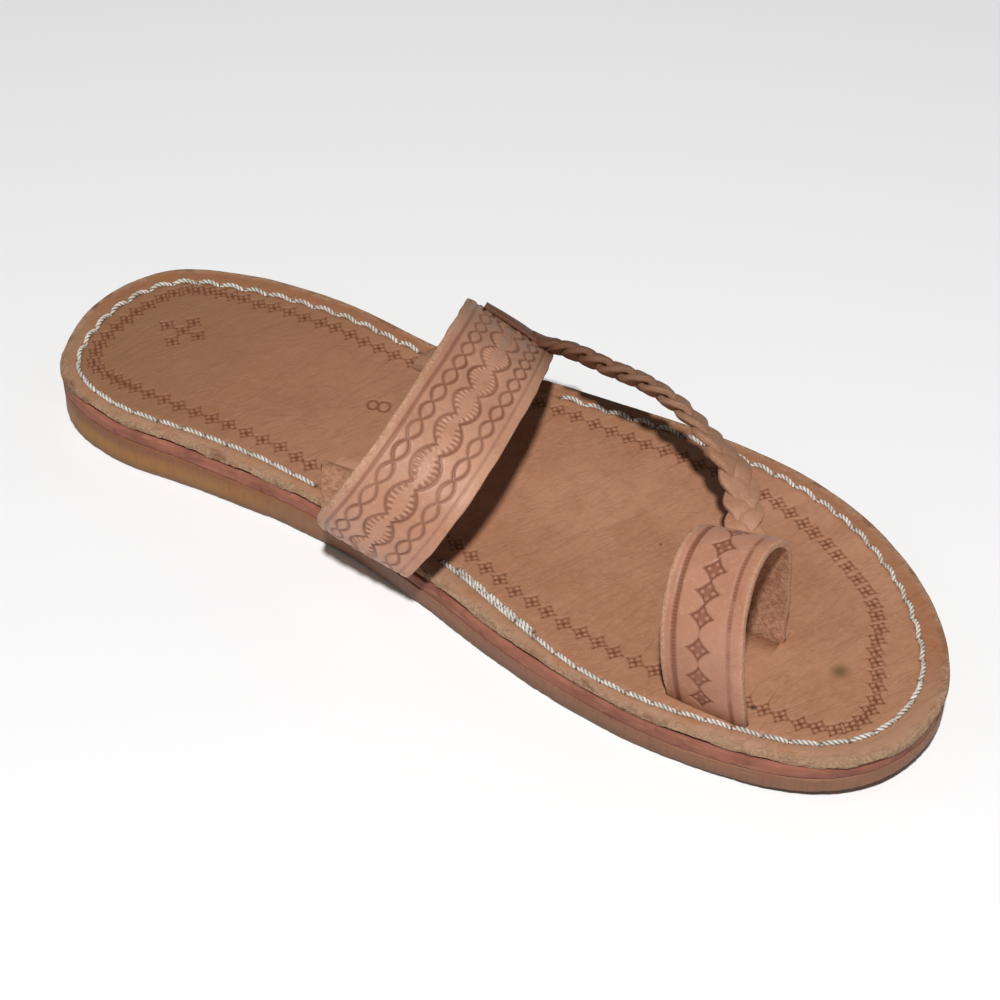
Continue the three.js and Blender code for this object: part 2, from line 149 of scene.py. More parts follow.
# The tab and the plait: its middle, the direction of its flat side and its thickness.
PLAIT_SECTIONS = [
    ((107.7, 34.1, 40), (0.4, -0.77, 0.51), 2.2), ((116, 35.6, 36), (0.4, -0.77, 0.51), 2.2),
    ((123, 36.9, 32.5), (0.4, -0.77, 0.51), 2.5), ((128.6, 37, 32.8), (0.35, -0.75, 0.55), 4.2),
    ((137.7, 34.5, 35.6), (0.25, -0.68, 0.69), 4.8), ((146.7, 32.1, 37.3), (0.25, -0.68, 0.69), 4.8),
    ((155.2, 31.6, 37.7), (0.25, -0.68, 0.69), 4.8), ((162, 30.8, 37.4), (0.22, -0.7, 0.68), 4.8),
    ((168.2, 29.5, 36.6), (0.18, -0.74, 0.65), 4.8), ((174.6, 27.3, 35.6), (0.1, -0.78, 0.62), 4.8),
    ((181, 24.5, 34.5), (-0.1, -0.82, 0.56), 4.8), ((187, 21.6, 32.9), (-0.4, -0.8, 0.44), 4.8),
    ((191.4, 19.2, 30.4), (-0.68, -0.69, 0.25), 4.8), ((194.5, 16.1, 28), (-0.82, -0.56, 0.1), 4.8),
    ((197.2, 12.1, 26.8), (-0.9, -0.43, 0.02), 4.8), ((199.6, 7.9, 25.2), (-0.93, -0.37, 0), 4.8),
    ((202, 3.4, 22.3), (-0.96, -0.28, 0), 4.8), ((204.2, -2, 18.6), (-0.98, -0.15, 0), 4.8),
    ((205.4, -5.6, 14.4), (-1, -0.05, 0), 4.6), ((205.6, -6.4, 10.3), (-1, 0, 0), 4.6),
]

STRAP_WIDTH = 27.5
LOOP_WIDTH = 21.9

# Where the two lines of each tooled chain cross, along the strap from the middle of its
# length, and where the shells between the chains have their middles.
HEEL_CHAIN = [-67.5, -60.5, -53.5, -46.9, -39.5, -32.3, -25.3, -18.6, -12, -5.2, 2, 9.3, 16.3, 23.5, 30.5,
              37.5, 44.5, 51.5, 58.5, 65.5]
TOE_CHAIN = [-67.1, -60.5, -53.9, -47.3, -41, -34.7, -28.4, -21.5, -14.4, -7.3, -0.5, 6, 12.9, 19.4, 25.8,
             31.7, 38.3, 44.9, 51.5, 58.1, 64.7]
HEEL_SHELLS = [-64.5, -53.8, -43, -32.5, -21.5, -10, 1, 11.5, 23, 34, 45, 56]
TOE_SHELLS = [-66, -55.3, -44.5, -34, -23.5, -13, -1.5, 10, 23.5, 34.5, 45.5, 56.5]

# Stars on the toe loop: along it from the middle of its length, and across from the heel.
LOOP_STARS = [(-40, 10.4), (-33.3, 10.2), (-25.5, 10.3), (-17.3, 10.8), (-11.3, 11.3), (-5.5, 11.5),
              (1.4, 11), (8.6, 11), (15.4, 11), (22.4, 11), (29.2, 11), (36, 11)]
LOOP_STAR_RADIUS = 3.6

# The size number: its middle, the direction in which its two rings lie, and each ring's
# place in that direction, its length and its width.
EIGHT_AT = (89.4, 8.9)
EIGHT_ALONG = (0.946, 0.324)
EIGHT_RINGS = ((-1.55, 1.45, 1.6), (1.45, 1.65, 1.9))

# Rows of the footbed's side: inset, height, how far each hangs and how far it stands out.
SIDE_ROWS = table("inset height hang lip", [
    (2.5, 0, 0, 0), (0.7, 0, 0, 0), (0.15, 0, 1, 0.3), (0, 0.12, 0.95, 0.36), (0, 0.5, 0.45, 0.2),
])

# The footbed's top: parts of the way from the edge to the seam, rings from there to inside
# the stars, stretches along the sole with finer strips inside them, and its depths.
EDGE_PARTS = (0, 0.04, 0.1, 0.2, 0.32, 0.47, 0.64, 0.82)
WORKED_RINGS = 34
FINE_RANGES = ((19, 37), (84, 94))
FINE_PARTS = 128
DRAWN_IN = 1.5
GROOVE_DEPTH = 0.28
HOLE_DEPTH = 0.8

# Insets that stand for the footbed's side and for its middle.
ON_SIDE = -1.0
FAR_INSIDE = 60.0

# How far the blocks that cut the slots reach below and above the footbed.
SLOT_REACH = 6

# The thread: radius of its two strands, their distance from its middle, the length of one
# twist, and how far its ends go down.
CORD_STRAND = 0.36
CORD_OFFSET = 0.32
CORD_TWIST = 2.5
CORD_SUNK = 0.9
CORD_SIDES = 7
CORD_STEPS = 30

# The bands' meshes, and the pitch of the shells' strokes and of the loop's crimped lines.
COLUMN_STEP = 0.27
DENSE_STEPS = 6000
FACE, EDGE, BACK = 0, 1, 2
STROKE_PITCH = 1.6
CRIMP_PITCH = 0.95

# The tab and the plait: where the one ends and the other begins, the length of the
# strands' turn and how far they swing, and the sizes across.
TAB_END = 17.5
TAB_WIDTH = 4.4
TAB_WIDENS = 3.4
TAB_THICKNESS = 1.6
PLAIT_FROM = 15.0
PLAIT_PERIOD = 19.2
PLAIT_SWING = 2.5
STRAND_WIDTH = 5.2
STRAND_THICKNESS = 2.3
STRIP_SIDES = 24


# Value of one column at a distance along the sole.
def value(rows, column, x):
    return np.interp(x, rows["at"], rows[column])


def spring(x):
    reach = (np.asarray(x, float) - TOE_SPRING_FROM) / (SOLE_LENGTH - TOE_SPRING_FROM)
    return TOE_SPRING_LIFT * np.maximum(reach, 0) ** 2


def underside(x):
    return value(WEDGE, "lift", x) + spring(x)


def wedge_top(x):
    return value(WEDGE, "top", x) + spring(x)


def midsole_top(x):
    return wedge_top(x) + MIDSOLE_THICKNESS


def footbed_top(x):
    return midsole_top(x) + FOOTBED_THICKNESS


def angle_at(x):
    return np.arccos(1 - 2 * x / SOLE_LENGTH)


# A smooth closed curve of a table's inner and outer columns over an angle that is 0 at
# the heel, positive on the outer side and pi at the toe.
def round_curve(rows, inner, outer, sign):
    at = angle_at(rows["at"])
    angles = np.concatenate([-at[1:-1][::-1], at])
    values = np.concatenate([sign * rows[inner][1:-1][::-1], rows[outer]])
    angles = np.concatenate([angles[-2:] - 2 * np.pi, angles, angles[:2] + 2 * np.pi])
    values = np.concatenate([values[-2:], values, values[:2]])
    slopes = np.zeros(len(values))
    slopes[1:-1] = (values[2:] - values[:-2]) / (angles[2:] - angles[:-2])

    def curve(angle):
        turn = np.mod(np.asarray(angle, float) - angles[2], 2 * np.pi) + angles[2]
        low = np.clip(np.searchsorted(angles, turn, side="right") - 1, 1, len(angles) - 3)
        span = angles[low + 1] - angles[low]
        t = (turn - angles[low]) / span
        rise = t * t * (3 - 2 * t)
        leave = (t ** 3 - 2 * t * t + t) * span * slopes[low]
        arrive = (t ** 3 - t * t) * span * slopes[low + 1]
        return values[low] + (values[low + 1] - values[low]) * rise + leave + arrive

    return curve


edge_y = round_curve(OUTLINE, "inner", "outer", -1)
seam_inset = round_curve(SEAM, "inner", "outer", 1)
star_inset = round_curve(STARS, "inner", "outer", 1)
star_pitch = round_curve(STARS, "inner_pitch", "outer_pitch", 1)


def unit(vectors):
    return vectors / np.linalg.norm(vectors, axis=-1, keepdims=True)


def distance_along(path):
    return np.concatenate([[0], np.cumsum(np.linalg.norm(np.diff(path, axis=0), axis=1))])


def outline(angle):
    return np.stack([SOLE_LENGTH * (1 - np.cos(angle)) / 2, edge_y(angle)], -1)


def inset_outline(angle, inset):
    nearby = 0.002
    along = unit(outline(angle + nearby) - outline(angle - nearby))
    inward = np.stack([along[..., 1], -along[..., 0]], -1)
    return outline(angle) + inward * np.asarray(inset)[..., None]


# Angles at even distances along the sole's edge, from the heel by the outer side to the
# toe and back by the inner side.
def even_angles(count):
    halves = []
    for side in (1, -1):
        angle = np.linspace(0, side * np.pi, HALF_STEPS + 1)
        gone = distance_along(outline(angle))
        halves.append(np.interp(np.linspace(0, gone[-1], count // 2 + 1), gone, angle))
    return np.concatenate([halves[0][:-1], halves[1][:0:-1]])


# The middle of the sole's width, which is at 0 in the frame.
box_angles = np.pi * (np.arange(BOX_STEPS) - BOX_STEPS / 2 + 1) / (BOX_STEPS / 2)
MIDDLE_Y = (edge_y(box_angles).min() + edge_y(box_angles).max()) / 2


def to_frame(points):
    return (np.asarray(points, float) - (SOLE_LENGTH / 2, MIDDLE_Y, 0)) / 1000


def smooth(low, high, x):
    t = np.clip((np.asarray(x, float) - low) / (high - low), 0, 1)
    return t * t * (3 - 2 * t)


# Smooth noise from -1 to 1 over one to three coordinates, with lumps of about one size,
# the same in every run.
def lumps(size, seed, *coordinates):
    grid = np.stack(coordinates, -1) / size
    cell = np.floor(grid).astype(np.int64)
    part = grid - cell
    part = part * part * (3 - 2 * part)
    total = np.zeros(len(grid))
    for corner in itertools.product((0, 1), repeat=grid.shape[1]):
        spot = cell + np.array(corner)
        mixed = np.full(len(grid), seed * 7919 + 12345, np.int64)
        for axis in range(grid.shape[1]):
            mixed = (mixed * 1103515245 + spot[:, axis] * 40503 + 12345) & 0x7FFFFFFF
            mixed ^= mixed >> 11
        weight = np.prod(np.where(np.array(corner) == 1, part, 1 - part), axis=1)
        total += weight * ((mixed & 0xFFFF) / 32767.5 - 1)
    return total


def new_mesh(name, points, faces):
    mesh = bpy.data.meshes.new(name)
    mesh.from_pydata(to_frame(points).tolist(), [], faces)
    return mesh


def new_object(name, data):
    made = bpy.data.objects.new(name, data)
    bpy.context.scene.collection.objects.link(made)
    return made


# A visible piece. Its values are one number for each point, which its finish reads.
def make_piece(name, points, faces, replaced, slot, values=None):
    mesh = new_mesh(name, points, faces)
    mesh.validate()
    mesh.update()
    mesh.shade_smooth()
    for key, column in (values or {}).items():
        attribute = mesh.attributes.new(key, "FLOAT", "POINT")
        attribute.data.foreach_set("value", np.asarray(column, np.float32))
    piece = new_object(name, mesh)
    if replaced:
        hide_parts(replaced)
    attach(piece, "root")
    return piece


# Faces between closed rings of points that follow each other.
def ring_faces(rings, size, first=0):
    low = first + np.arange(rings - 1)[:, None] * size + np.arange(size)[None]
    high = first + np.arange(rings - 1)[:, None] * size + (np.arange(size)[None] + 1) % size
    return np.stack([low, high, high + size, low + size], -1).reshape(-1, 4).tolist()


# The same with both ends closed.
def tube_faces(rings, size, first=0):
    start = first + np.arange(size)[::-1]
    end = first + (rings - 1) * size + np.arange(size)
    return ring_faces(rings, size, first) + [start.tolist(), end.tolist()]


# A cap of a closed ring: strips between points that lie across from each other, each
# with its own count of parts. Returns the new points and the faces, seen from above.
def cap(ring_points, first_index, next_index, counts):
    size = len(ring_points)
    rows = [[first_index]]
    extra = []
    for step in range(1, size // 2):
        start, end = ring_points[step], ring_points[size - step]
        count = counts[step]
        inside = next_index + len(extra)
        extra += [start + (end - start) * part / count for part in range(1, count)]
        rows.append([first_index + step, *range(inside, inside + count - 1), first_index + size - step])
    rows.append([first_index + size // 2])
    faces = []
    for low, high in zip(rows[:-1], rows[1:]):
        fine, coarse = (low, high) if len(low) > len(high) else (high, low)
        if len(coarse) == 1:
            made = [[coarse[0], *fine[part:part + 2]] for part in range(len(fine) - 1)]
        else:
            ratio = (len(fine) - 1) // (len(coarse) - 1)
            made = [[coarse[part], *fine[part * ratio:(part + 1) * ratio + 1], coarse[part + 1]]
                    for part in range(len(coarse) - 1)]
        faces += made if fine is high else [face[::-1] for face in made]
    return np.array(extra), faces


# A closed layer from its rings, with a cap below the first and one above the last.
# Returns the points, the faces and how many of the last points are in each cap.
def closed_layer(rings, under_parts, over_counts):
    size = len(rings[0])
    points = np.concatenate(rings)
    under, under_faces = cap(rings[0], 0, len(points), [under_parts] * size)
    points = np.concatenate([points, under])
    over, over_faces = cap(rings[-1], (len(rings) - 1) * size, len(points), over_counts)
    points = np.concatenate([points, over])
    faces = [face[::-1] for face in ring_faces(len(rings), size)] + under_faces
    faces += [face[::-1] for face in over_faces]
    return points, faces, len(under), len(over)


def in_space(flat, z):
    return np.concatenate([flat, np.asarray(z, float)[:, None]], axis=1)


# A layer of the sole. Each ring has an inset, and a height from 0 at the layer's bottom
# to 1 at its top; rough moves the wall's points out and in.
def sole_layer(bottom, top, rings, rough, parts):
    angles = even_angles(LAYER_COUNT)
    run = distance_along(outline(angles))
    walls = []
    for inset, height in rings:
        x = inset_outline(angles, inset)[:, 0]
        z = bottom(x) * (1 - height) + top(x) * height
        walls.append(in_space(inset_outline(angles, inset - rough(run, z, height, x)), z))
    return closed_layer(walls, parts, [parts] * LAYER_COUNT)[:2]


# The crepe's knife marks, its slow wave and the ridges of its front part.
def wedge_rough(run, z, height, x):
    knife = lumps(1.1, 3, run, z / 9) * (0.09 if 0 < height < 1 else 0.045)
    wave = lumps(9, 5, run, z * 1.4) * 0.16
    ridge = lumps(0.9, 8, run / 8, z) * 0.08 * smooth(120, 200, x)
    return knife + wave + ridge


wedge_rings = [(0.9, 0), (0.45, 0.03), (0.2, 0.08), (0.05, 0.15)]
wedge_rings += [(0, percent / 100) for percent in range(25, 95, 10)]
wedge_rings += [(0.02, 0.93), (0.15, 1)]
wedge = sole_layer(underside, wedge_top, wedge_rings, wedge_rough, WEDGE_CAP_PARTS)
outsole = make_piece("outsole_crepe", *wedge, "outsole", "crepe")


def midsole_rough(run, z, height, x):
    return lumps(2.6, 11, run, z * 2) * 0.14 + lumps(0.8, 12, run, z) * 0.05


# The red layer nearly closes the small gaps below and above it.
def midsole_floor(x):
    return wedge_top(x) + LAYER_GAP / 3


def midsole_ceiling(x):
    return midsole_top(x) + LAYER_GAP / 3


midsole_rings = [(0.35, 0), (0.2, 0.08), (0.15, 0.2), (0.15, 0.35), (0.18, 0.5), (0.2, 0.65), (0.25, 0.8),
                 (0.35, 0.92), (0.6, 1)]
sheet = sole_layer(midsole_floor, midsole_ceiling, midsole_rings, midsole_rough, CAP_PARTS)
midsole = make_piece("midsole_sheet", *sheet, "midsole", "red_layer")


# The seam has its needle holes about seven millimetres apart, and none under the instep
# strap. On the inner side a second row of shorter stitches lies beside it.
STITCH_LENGTH = 7.0
STITCH_JITTER = 0.35
SECOND_LENGTH = 5.6
SECOND_SHIFT = 1.0
SECOND_ANGLES = (-1.83, -1.616)
all_angles = np.linspace(-np.pi, np.pi, 2 * HALF_STEPS + 1)
seam_run = distance_along(inset_outline(all_angles, seam_inset(all_angles)))


# Whether a place on the footbed lies under an end of the instep strap.
def under_strap(point):
    x, y = point
    if y < 0:
        return 93.5 + 0.15 * (y + 25) < x < 136 - 0.2 * (y + 30)
    return 89.5 < x < 125.5


# Places at distances along the seam, moved inwards by a shift.
def seam_at(run, shift=0.0):
    angle = np.interp(np.mod(run, seam_run[-1]), seam_run, all_angles)
    return inset_outline(angle, seam_inset(angle) + shift)


random = np.random.default_rng(7)


# Every stitch: where it begins and ends along the seam, and its shift.
def sewn_stitches():
    count = round(seam_run[-1] / STITCH_LENGTH)
    marks = np.arange(count) * seam_run[-1] / count + random.uniform(-STITCH_JITTER, STITCH_JITTER, count)
    made = []
    for start, end in zip(marks, np.append(marks[1:], marks[0] + seam_run[-1])):
        if not under_strap(seam_at((start + end) / 2)):
            made.append((start, end, 0.0))
    marks = np.arange(*np.interp(SECOND_ANGLES, all_angles, seam_run), SECOND_LENGTH)
    return made + [(start, end, SECOND_SHIFT) for start, end in zip(marks[:-1], marks[1:])]


stitches = sewn_stitches()
needle_holes = [seam_at(run, shift) for start, end, shift in stitches for run in (start, end)]


# How deep a stamped star is at each place, from 0 to 1. It has hollow sides and four
# raised dots, and pale raises its middle.
def star(dx, dy, turn, radius, bead_size=0.22, pale=0.0):
    x = np.abs(dx * math.cos(turn) + dy * math.sin(turn))
    y = np.abs(dy * math.cos(turn) - dx * math.sin(turn))
    reach = (x ** STAR_HOLLOW + y ** STAR_HOLLOW) ** (1 / STAR_HOLLOW)
    deep = 1 - smooth(radius * 0.92, radius * 1.16, reach)
    middle = pale * (1 - smooth(radius * 0.45, radius * 0.85, reach))
    off = np.minimum(np.hypot(x - radius * BEAD_AT, y), np.hypot(x, y - radius * BEAD_AT))
    round_beads = smooth(radius * (bead_size - 0.06), radius * (bead_size + 0.05), off)
    return deep * (1 - middle) * (0.05 + 0.95 * round_beads)


# The chain of stars round the footbed and the five in the heel: place and turn.
def stamped_stars():
    line = inset_outline(all_angles, star_inset(all_angles))
    step = np.linalg.norm(np.diff(line, axis=0), axis=1)
    count = np.concatenate([[0], np.cumsum(step / star_pitch(all_angles[:-1]))])
    whole = round(count[-1])
    spots = np.arange(whole) * count[-1] / whole + random.uniform(-0.07, 0.07, whole)
    spots = np.interp(spots, count, all_angles)
    made = []
    for x, y in inset_outline(spots, star_inset(spots) + random.uniform(-0.3, 0.3, whole)):
        turn = TOE_STAR_TURN * smooth(200, 232, x) * (1 - smooth(-25, -8, -y))
        made.append((x, y, turn + random.uniform(-0.08, 0.08)))
    return made + [(x, y, random.uniform(-0.06, 0.06)) for x, y in HEEL_STARS]


star_places = stamped_stars()


# The size number, an eight of two stamped rings.
def stamped_eight(x, y):
    along = (x - EIGHT_AT[0]) * EIGHT_ALONG[0] + (y - EIGHT_AT[1]) * EIGHT_ALONG[1]
    across = (y - EIGHT_AT[1]) * EIGHT_ALONG[0] - (x - EIGHT_AT[0]) * EIGHT_ALONG[1]
    deep = np.zeros(len(x))
    for middle, tall, wide in EIGHT_RINGS:
        reach = np.hypot((along - middle) / tall, across / wide)
        deep = np.maximum(deep, 1 - smooth(0.2, 0.5, np.abs(reach - 1) * wide))
    return deep


# Points that lie near a place on both axes.
def near_place(x, y, place, reach):
    return np.flatnonzero((np.abs(x - place[0]) < reach) & (np.abs(y - place[1]) < reach))


# How deep the footbed's stamps are at each place, from 0 to 1.
def stamps(x, y):
    deep = stamped_eight(x, y) * 0.9
    for star_x, star_y, turn in star_places:
        near = near_place(x, y, (star_x, star_y), 3.2)
        deep[near] = np.maximum(deep[near], star(x[near] - star_x, y[near] - star_y, turn, STAR_RADIUS))
    return deep


# The footbed's edge droops, most of all on the inner side: how far its top lies below the
# flat at a distance inside it.
def droop(inset, y):
    deep = 1.6 - 1.3 * smooth(-24, 0, y)
    return deep * np.clip(1 - np.asarray(inset) / 4, 0, 1) ** 2.2


# Rings of the footbed from its underside over the edge to inside the stars, with the
# inset of each, which is below 0 on the side.
def footbed_rings(angles):
    seam, stars = seam_inset(angles), star_inset(angles)
    edge = outline(angles)
    x, y = edge.T
    run = distance_along(edge)
    ragged = lumps(9, 20, run) * 0.65 + lumps(3.1, 21, run) * 0.3 + lumps(1.1, 22, run) * 0.16
    drawn_in = DRAWN_IN * (1 - smooth(-26, -8, y)) * smooth(6, 24, x) * (1 - smooth(235, 255, x))
    rings, insets = [], []
    for inset, part, hang, lip in zip(*SIDE_ROWS.values()):
        flat = inset_outline(angles, inset - lip + drawn_in + 0.1 * ragged * (inset < 0.5))
        low = midsole_top(flat[:, 0]) + LAYER_GAP
        high = footbed_top(flat[:, 0]) - droop(0, flat[:, 1])
        hanging = hang * (1.5 * ragged - 0.35).clip(-1.0, 1.2)
        rings.append(in_space(flat, low + (high - low) * part - hanging))
        insets.append(np.full(len(angles), ON_SIDE))
    worked_from = seam - 1.2
    tops = [worked_from * part for part in EDGE_PARTS]
    tops += [worked_from * (1 - part) + (stars + 3.0) * part for part in np.linspace(0, 1, WORKED_RINGS)]
    for inset in tops:
        kept = np.clip(1 - inset / worked_from, 0, 1)
        flat = inset_outline(angles, inset + drawn_in * kept + 0.12 * ragged * (1 - smooth(0, 1.5, inset)))
        rings.append(in_space(flat, footbed_top(flat[:, 0]) - droop(inset, flat[:, 1])))
        insets.append(inset)
    return rings, insets


# The footbed's stamps, groove, needle holes and uneven top change the points' heights.
# Its values are the stamps, holes, groove, raw edge, margin outside the seam and the
# inner side.
def footbed_piece():
    angles = even_angles(FOOTBED_COUNT)
    rings, insets = footbed_rings(angles)
    counts = [CAP_PARTS] * FOOTBED_COUNT
    for step in range(1, FOOTBED_COUNT // 2):
        x = (rings[-1][step, 0] + rings[-1][-step, 0]) / 2
        if any(low < x < high for low, high in FINE_RANGES):
            counts[step] = FINE_PARTS
    points, faces, under, over = closed_layer(rings, CAP_PARTS, counts)
    points[-over:, 2] = footbed_top(points[-over:, 0])
    inset = np.concatenate([*insets, np.full(under, ON_SIDE), np.full(over, FAR_INSIDE)])
    top = inset >= 0
    in_rings = len(rings) * FOOTBED_COUNT
    seam_off = np.full(len(points), FAR_INSIDE)
    seam_off[:in_rings] = inset[:in_rings] - np.tile(seam_inset(angles), len(rings))
    seam_off[~top] = -9
    x, y, z = points.T
    stamp, hole = np.zeros(len(points)), np.zeros(len(points))
    stamp[top] = stamps(x[top], y[top])
    for place in needle_holes:
        near = near_place(x, y, place, 1.5)
        near = near[top[near]]
        square = (x[near] - place[0]) ** 2 + (y[near] - place[1]) ** 2
        hole[near] = np.maximum(hole[near], np.exp(-square / 0.35))
    groove = np.exp(-(seam_off / 0.8) ** 2)
    uneven = lumps(14, 31, x, y) * 0.14 + lumps(5, 32, x, y) * 0.05
    z += uneven * smooth(2, 9, inset) - STAR_DEPTH * stamp - GROOVE_DEPTH * groove - HOLE_DEPTH * hole
    grain = lumps(1.3, 33, (np.where(y > 0, x, -x) + 0.3 * y) / 2, z * 3)
    raw = np.where(top, 1 - smooth(0.2, 2.2, inset + 0.7 * lumps(2.4, 34, x, y)), 1.0)
    margin = np.where(top, 1 - smooth(-0.6, 0.8, seam_off), 1.0)
    values = {"stamp": stamp, "hole": hole, "groove": groove, "raw": raw * (0.8 + 0.2 * grain),
              "margin": margin, "inner": 1 - smooth(-14, 8, y)}
    return make_piece("footbed_leather", points, faces, "footbed", "footbed_leather", values)


footbed = footbed_piece()


# An upright block with round ends, which cuts the slot for a strap's end.
def slot_block(heel, toe, thickness=STRAP_THICKNESS):
    heel, toe = np.array(heel, float), np.array(toe, float)
    along = unit(toe - heel)
    side = np.array([-along[1], along[0]])
    half = thickness / 2 + SLOT_CLEARANCE
    pull = along * (SLOT_CLEARANCE - half)
    flat = []
    for centre, start in ((toe + pull, -90), (heel - pull, 90)):
        for turn in np.radians(start + 30 * np.arange(7)):
            flat.append(centre + along * half * math.cos(turn) + side * half * math.sin(turn))
    count = len(flat)
    x = float(np.mean(flat, axis=0)[0])
    heights = (float(midsole_top(x)) - SLOT_REACH, float(footbed_top(x)) + SLOT_REACH)
    points = [(*place, height) for height in heights for place in flat]
    return new_object("slot", new_mesh("slot", points, tube_faces(2, count)))


def cut_slots():
    x, y = PLAIT_SECTIONS[-1][0][:2]
    plait_slot = ((x - PLAIT_WIDTH / 2, y), (x + PLAIT_WIDTH / 2, y))
    blocks = [slot_block(*slot) for slot in (INNER_SLOT, OUTER_SLOT, LOOP_INNER_SLOT, LOOP_OUTER_SLOT)]
    blocks.append(slot_block(*plait_slot, PLAIT_SECTIONS[-1][2]))
    for block in blocks:
        cut = footbed.modifiers.new("slot", "BOOLEAN")
        cut.operation = "DIFFERENCE"
        cut.solver = "MANIFOLD"
        cut.object = block
    graph = bpy.context.evaluated_depsgraph_get()
    cut_mesh = bpy.data.meshes.new_from_object(footbed.evaluated_get(graph))
    footbed.modifiers.clear()
    footbed.data = cut_mesh
    for block in blocks:
        bpy.data.objects.remove(block)


cut_slots()


# Directions to the side of a path and upwards from it.
def beside(path):
    along = unit(np.gradient(path, axis=0))
    side = unit(np.cross(along, (0, 0, 1.0)))
    return side, np.cross(side, along)


def around(side, up, turn):
    return side * np.cos(turn)[..., None] + up * np.sin(turn)[..., None]


# Every stitch is a bit of two-strand cord that comes out of one needle hole, lies on the
# leather and goes down the next. The core is where the two strands meet; it is painted dark as shade.
def seam_piece():
    points, faces, core = [], [], []
    rim = 2 * np.pi * np.arange(CORD_SIDES) / CORD_SIDES
    for start, end, shift in stitches:
        t = np.linspace(0, 1, CORD_STEPS)
        slant = random.uniform(0.1, 0.4)
        bow = -0.3 * np.sin(np.pi * t) + slant * (t - 0.5)
        flat = seam_at(start + 0.45 + (end - start - 0.9) * t, shift + bow)
        lift = 0.32 + random.uniform(-0.06, 0.06) + (0.15 if shift else 0)
        height = (lift + CORD_SUNK) * np.sin(np.pi * t) ** 0.5 - CORD_SUNK
        middle = in_space(flat, footbed_top(flat[:, 0]) + height)
        side, up = beside(middle)
        first_turn = random.uniform(0, 2 * math.pi)
        for strand in (0, math.pi):
            turn = -2 * np.pi * distance_along(middle) / CORD_TWIST + first_turn + strand
            path = middle + CORD_OFFSET * around(side, up, turn)
            path_side, path_up = beside(path)
            tube = path[:, None] + CORD_STRAND * around(path_side[:, None], path_up[:, None], rim[None])
            far = np.linalg.norm(tube - middle[:, None], axis=2)
            faces += tube_faces(CORD_STEPS, CORD_SIDES, len(points))
            points += tube.reshape(-1, 3).tolist()
            core += (1 - smooth(0.3, 0.56, far)).reshape(-1).tolist()
    return make_piece("footbed_stitching", points, faces, None, "footbed_leather", {"core": core})


stitching = seam_piece()


# A smooth curve through points, by distance between them.
def through(points, t):
    p = np.array(points, float)
    p = np.vstack([2 * p[0] - p[1], p, 2 * p[-1] - p[-2]])
    t = np.asarray(t, float)
    low = np.clip(t.astype(int), 0, len(p) - 4)
    w = (t - low)[:, None]
    p0, p1, p2, p3 = p[low], p[low + 1], p[low + 2], p[low + 3]

    def apart(a, b):
        return np.maximum(np.linalg.norm(b - a, axis=1), 1e-4)[:, None] ** 0.5

    d0, d1, d2 = apart(p0, p1), apart(p1, p2), apart(p2, p3)
    leave = ((p1 - p0) / d0 - (p2 - p0) / (d0 + d1) + (p2 - p1) / d1) * d1
    arrive = ((p2 - p1) / d1 - (p3 - p1) / (d1 + d2) + (p3 - p2) / d2) * d1
    square = 3 * (p2 - p1) - 2 * leave - arrive
    cube = 2 * (p1 - p2) + leave + arrive
    return p1 + leave * w + square * w ** 2 + cube * w ** 3


def slot_floor(x):
    return midsole_top(x) + LAYER_GAP


# Rows of a strap's end, from the slot's floor to the start of its rise at the crease.
def strap_foot(slot, crease):
    slot, crease = np.array(slot, float), np.array(crease, float)
    reach = np.linalg.norm(crease - slot, axis=1)
    away = unit(crease - slot)

    def row(outward, height):
        spots = slot + away * np.asarray(outward)[..., None]
        return tuple((x, y, float(height(x))) for x, y in spots)

    def lying(x):
        return footbed_top(x) + LYING_GAP + STRAP_THICKNESS / 2

    rows = [row(0 * reach, slot_floor)]
    for turn in np.radians([0, 30, 60, 90]):
        drop = SLOT_BEND * (1 - math.sin(turn))
        rows.append(row(0 * reach + SLOT_BEND * (1 - math.cos(turn)), lambda x: lying(x) - drop))
    rows.append(row(reach / 2, lying))
    for turn in np.radians([0, 30, 60]):
        rise = CREASE_BEND * (1 - math.cos(turn))
        rows.append(row(reach + CREASE_BEND * math.sin(turn), lambda x: lying(x) + rise))
    return rows


def loop_foot(slot):
    return [tuple((x, y, float(height(x))) for x, y in slot) for height in (slot_floor, footbed_top)]


# A band's cut edge from its face to its back: how far inside the edge, and how far out.
def band_edge(face, half):
    return [(0.05, face - 0.2), (0, face - 0.5), (0, 0), (0, 0.35 - half), (0.1, 0.1 - half)]


# The outline of a band's cross-section: how far each point is from the edge towards the
# heel as a part of the width, how far out it is, and whether it is on the face, the edge
# or the back.
def band_section(width, bevels):
    half = STRAP_THICKNESS / 2

    def face_at(v):
        heel_side = bevels[0] * np.clip(1 - v * width / 2.2, 0, 1) ** 2
        toe_side = bevels[1] * np.clip(1 - (1 - v) * width / 1.8, 0, 1) ** 2
        return half - heel_side - toe_side

    face_count = int(round((width - 0.5) / COLUMN_STEP)) + 1
    points = [(v, face_at(v), FACE) for v in np.linspace(0.25 / width, 1 - 0.25 / width, face_count)]
    points += [(1 - inside / width, lift, EDGE) for inside, lift in band_edge(face_at(1), half)]
    points += [(v, -half, BACK) for v in np.linspace(1 - 0.3 / width, 0.3 / width, 25)]
    points += [(inside / width, lift, EDGE) for inside, lift in band_edge(face_at(0), half)[::-1]]
    return np.array(points).T


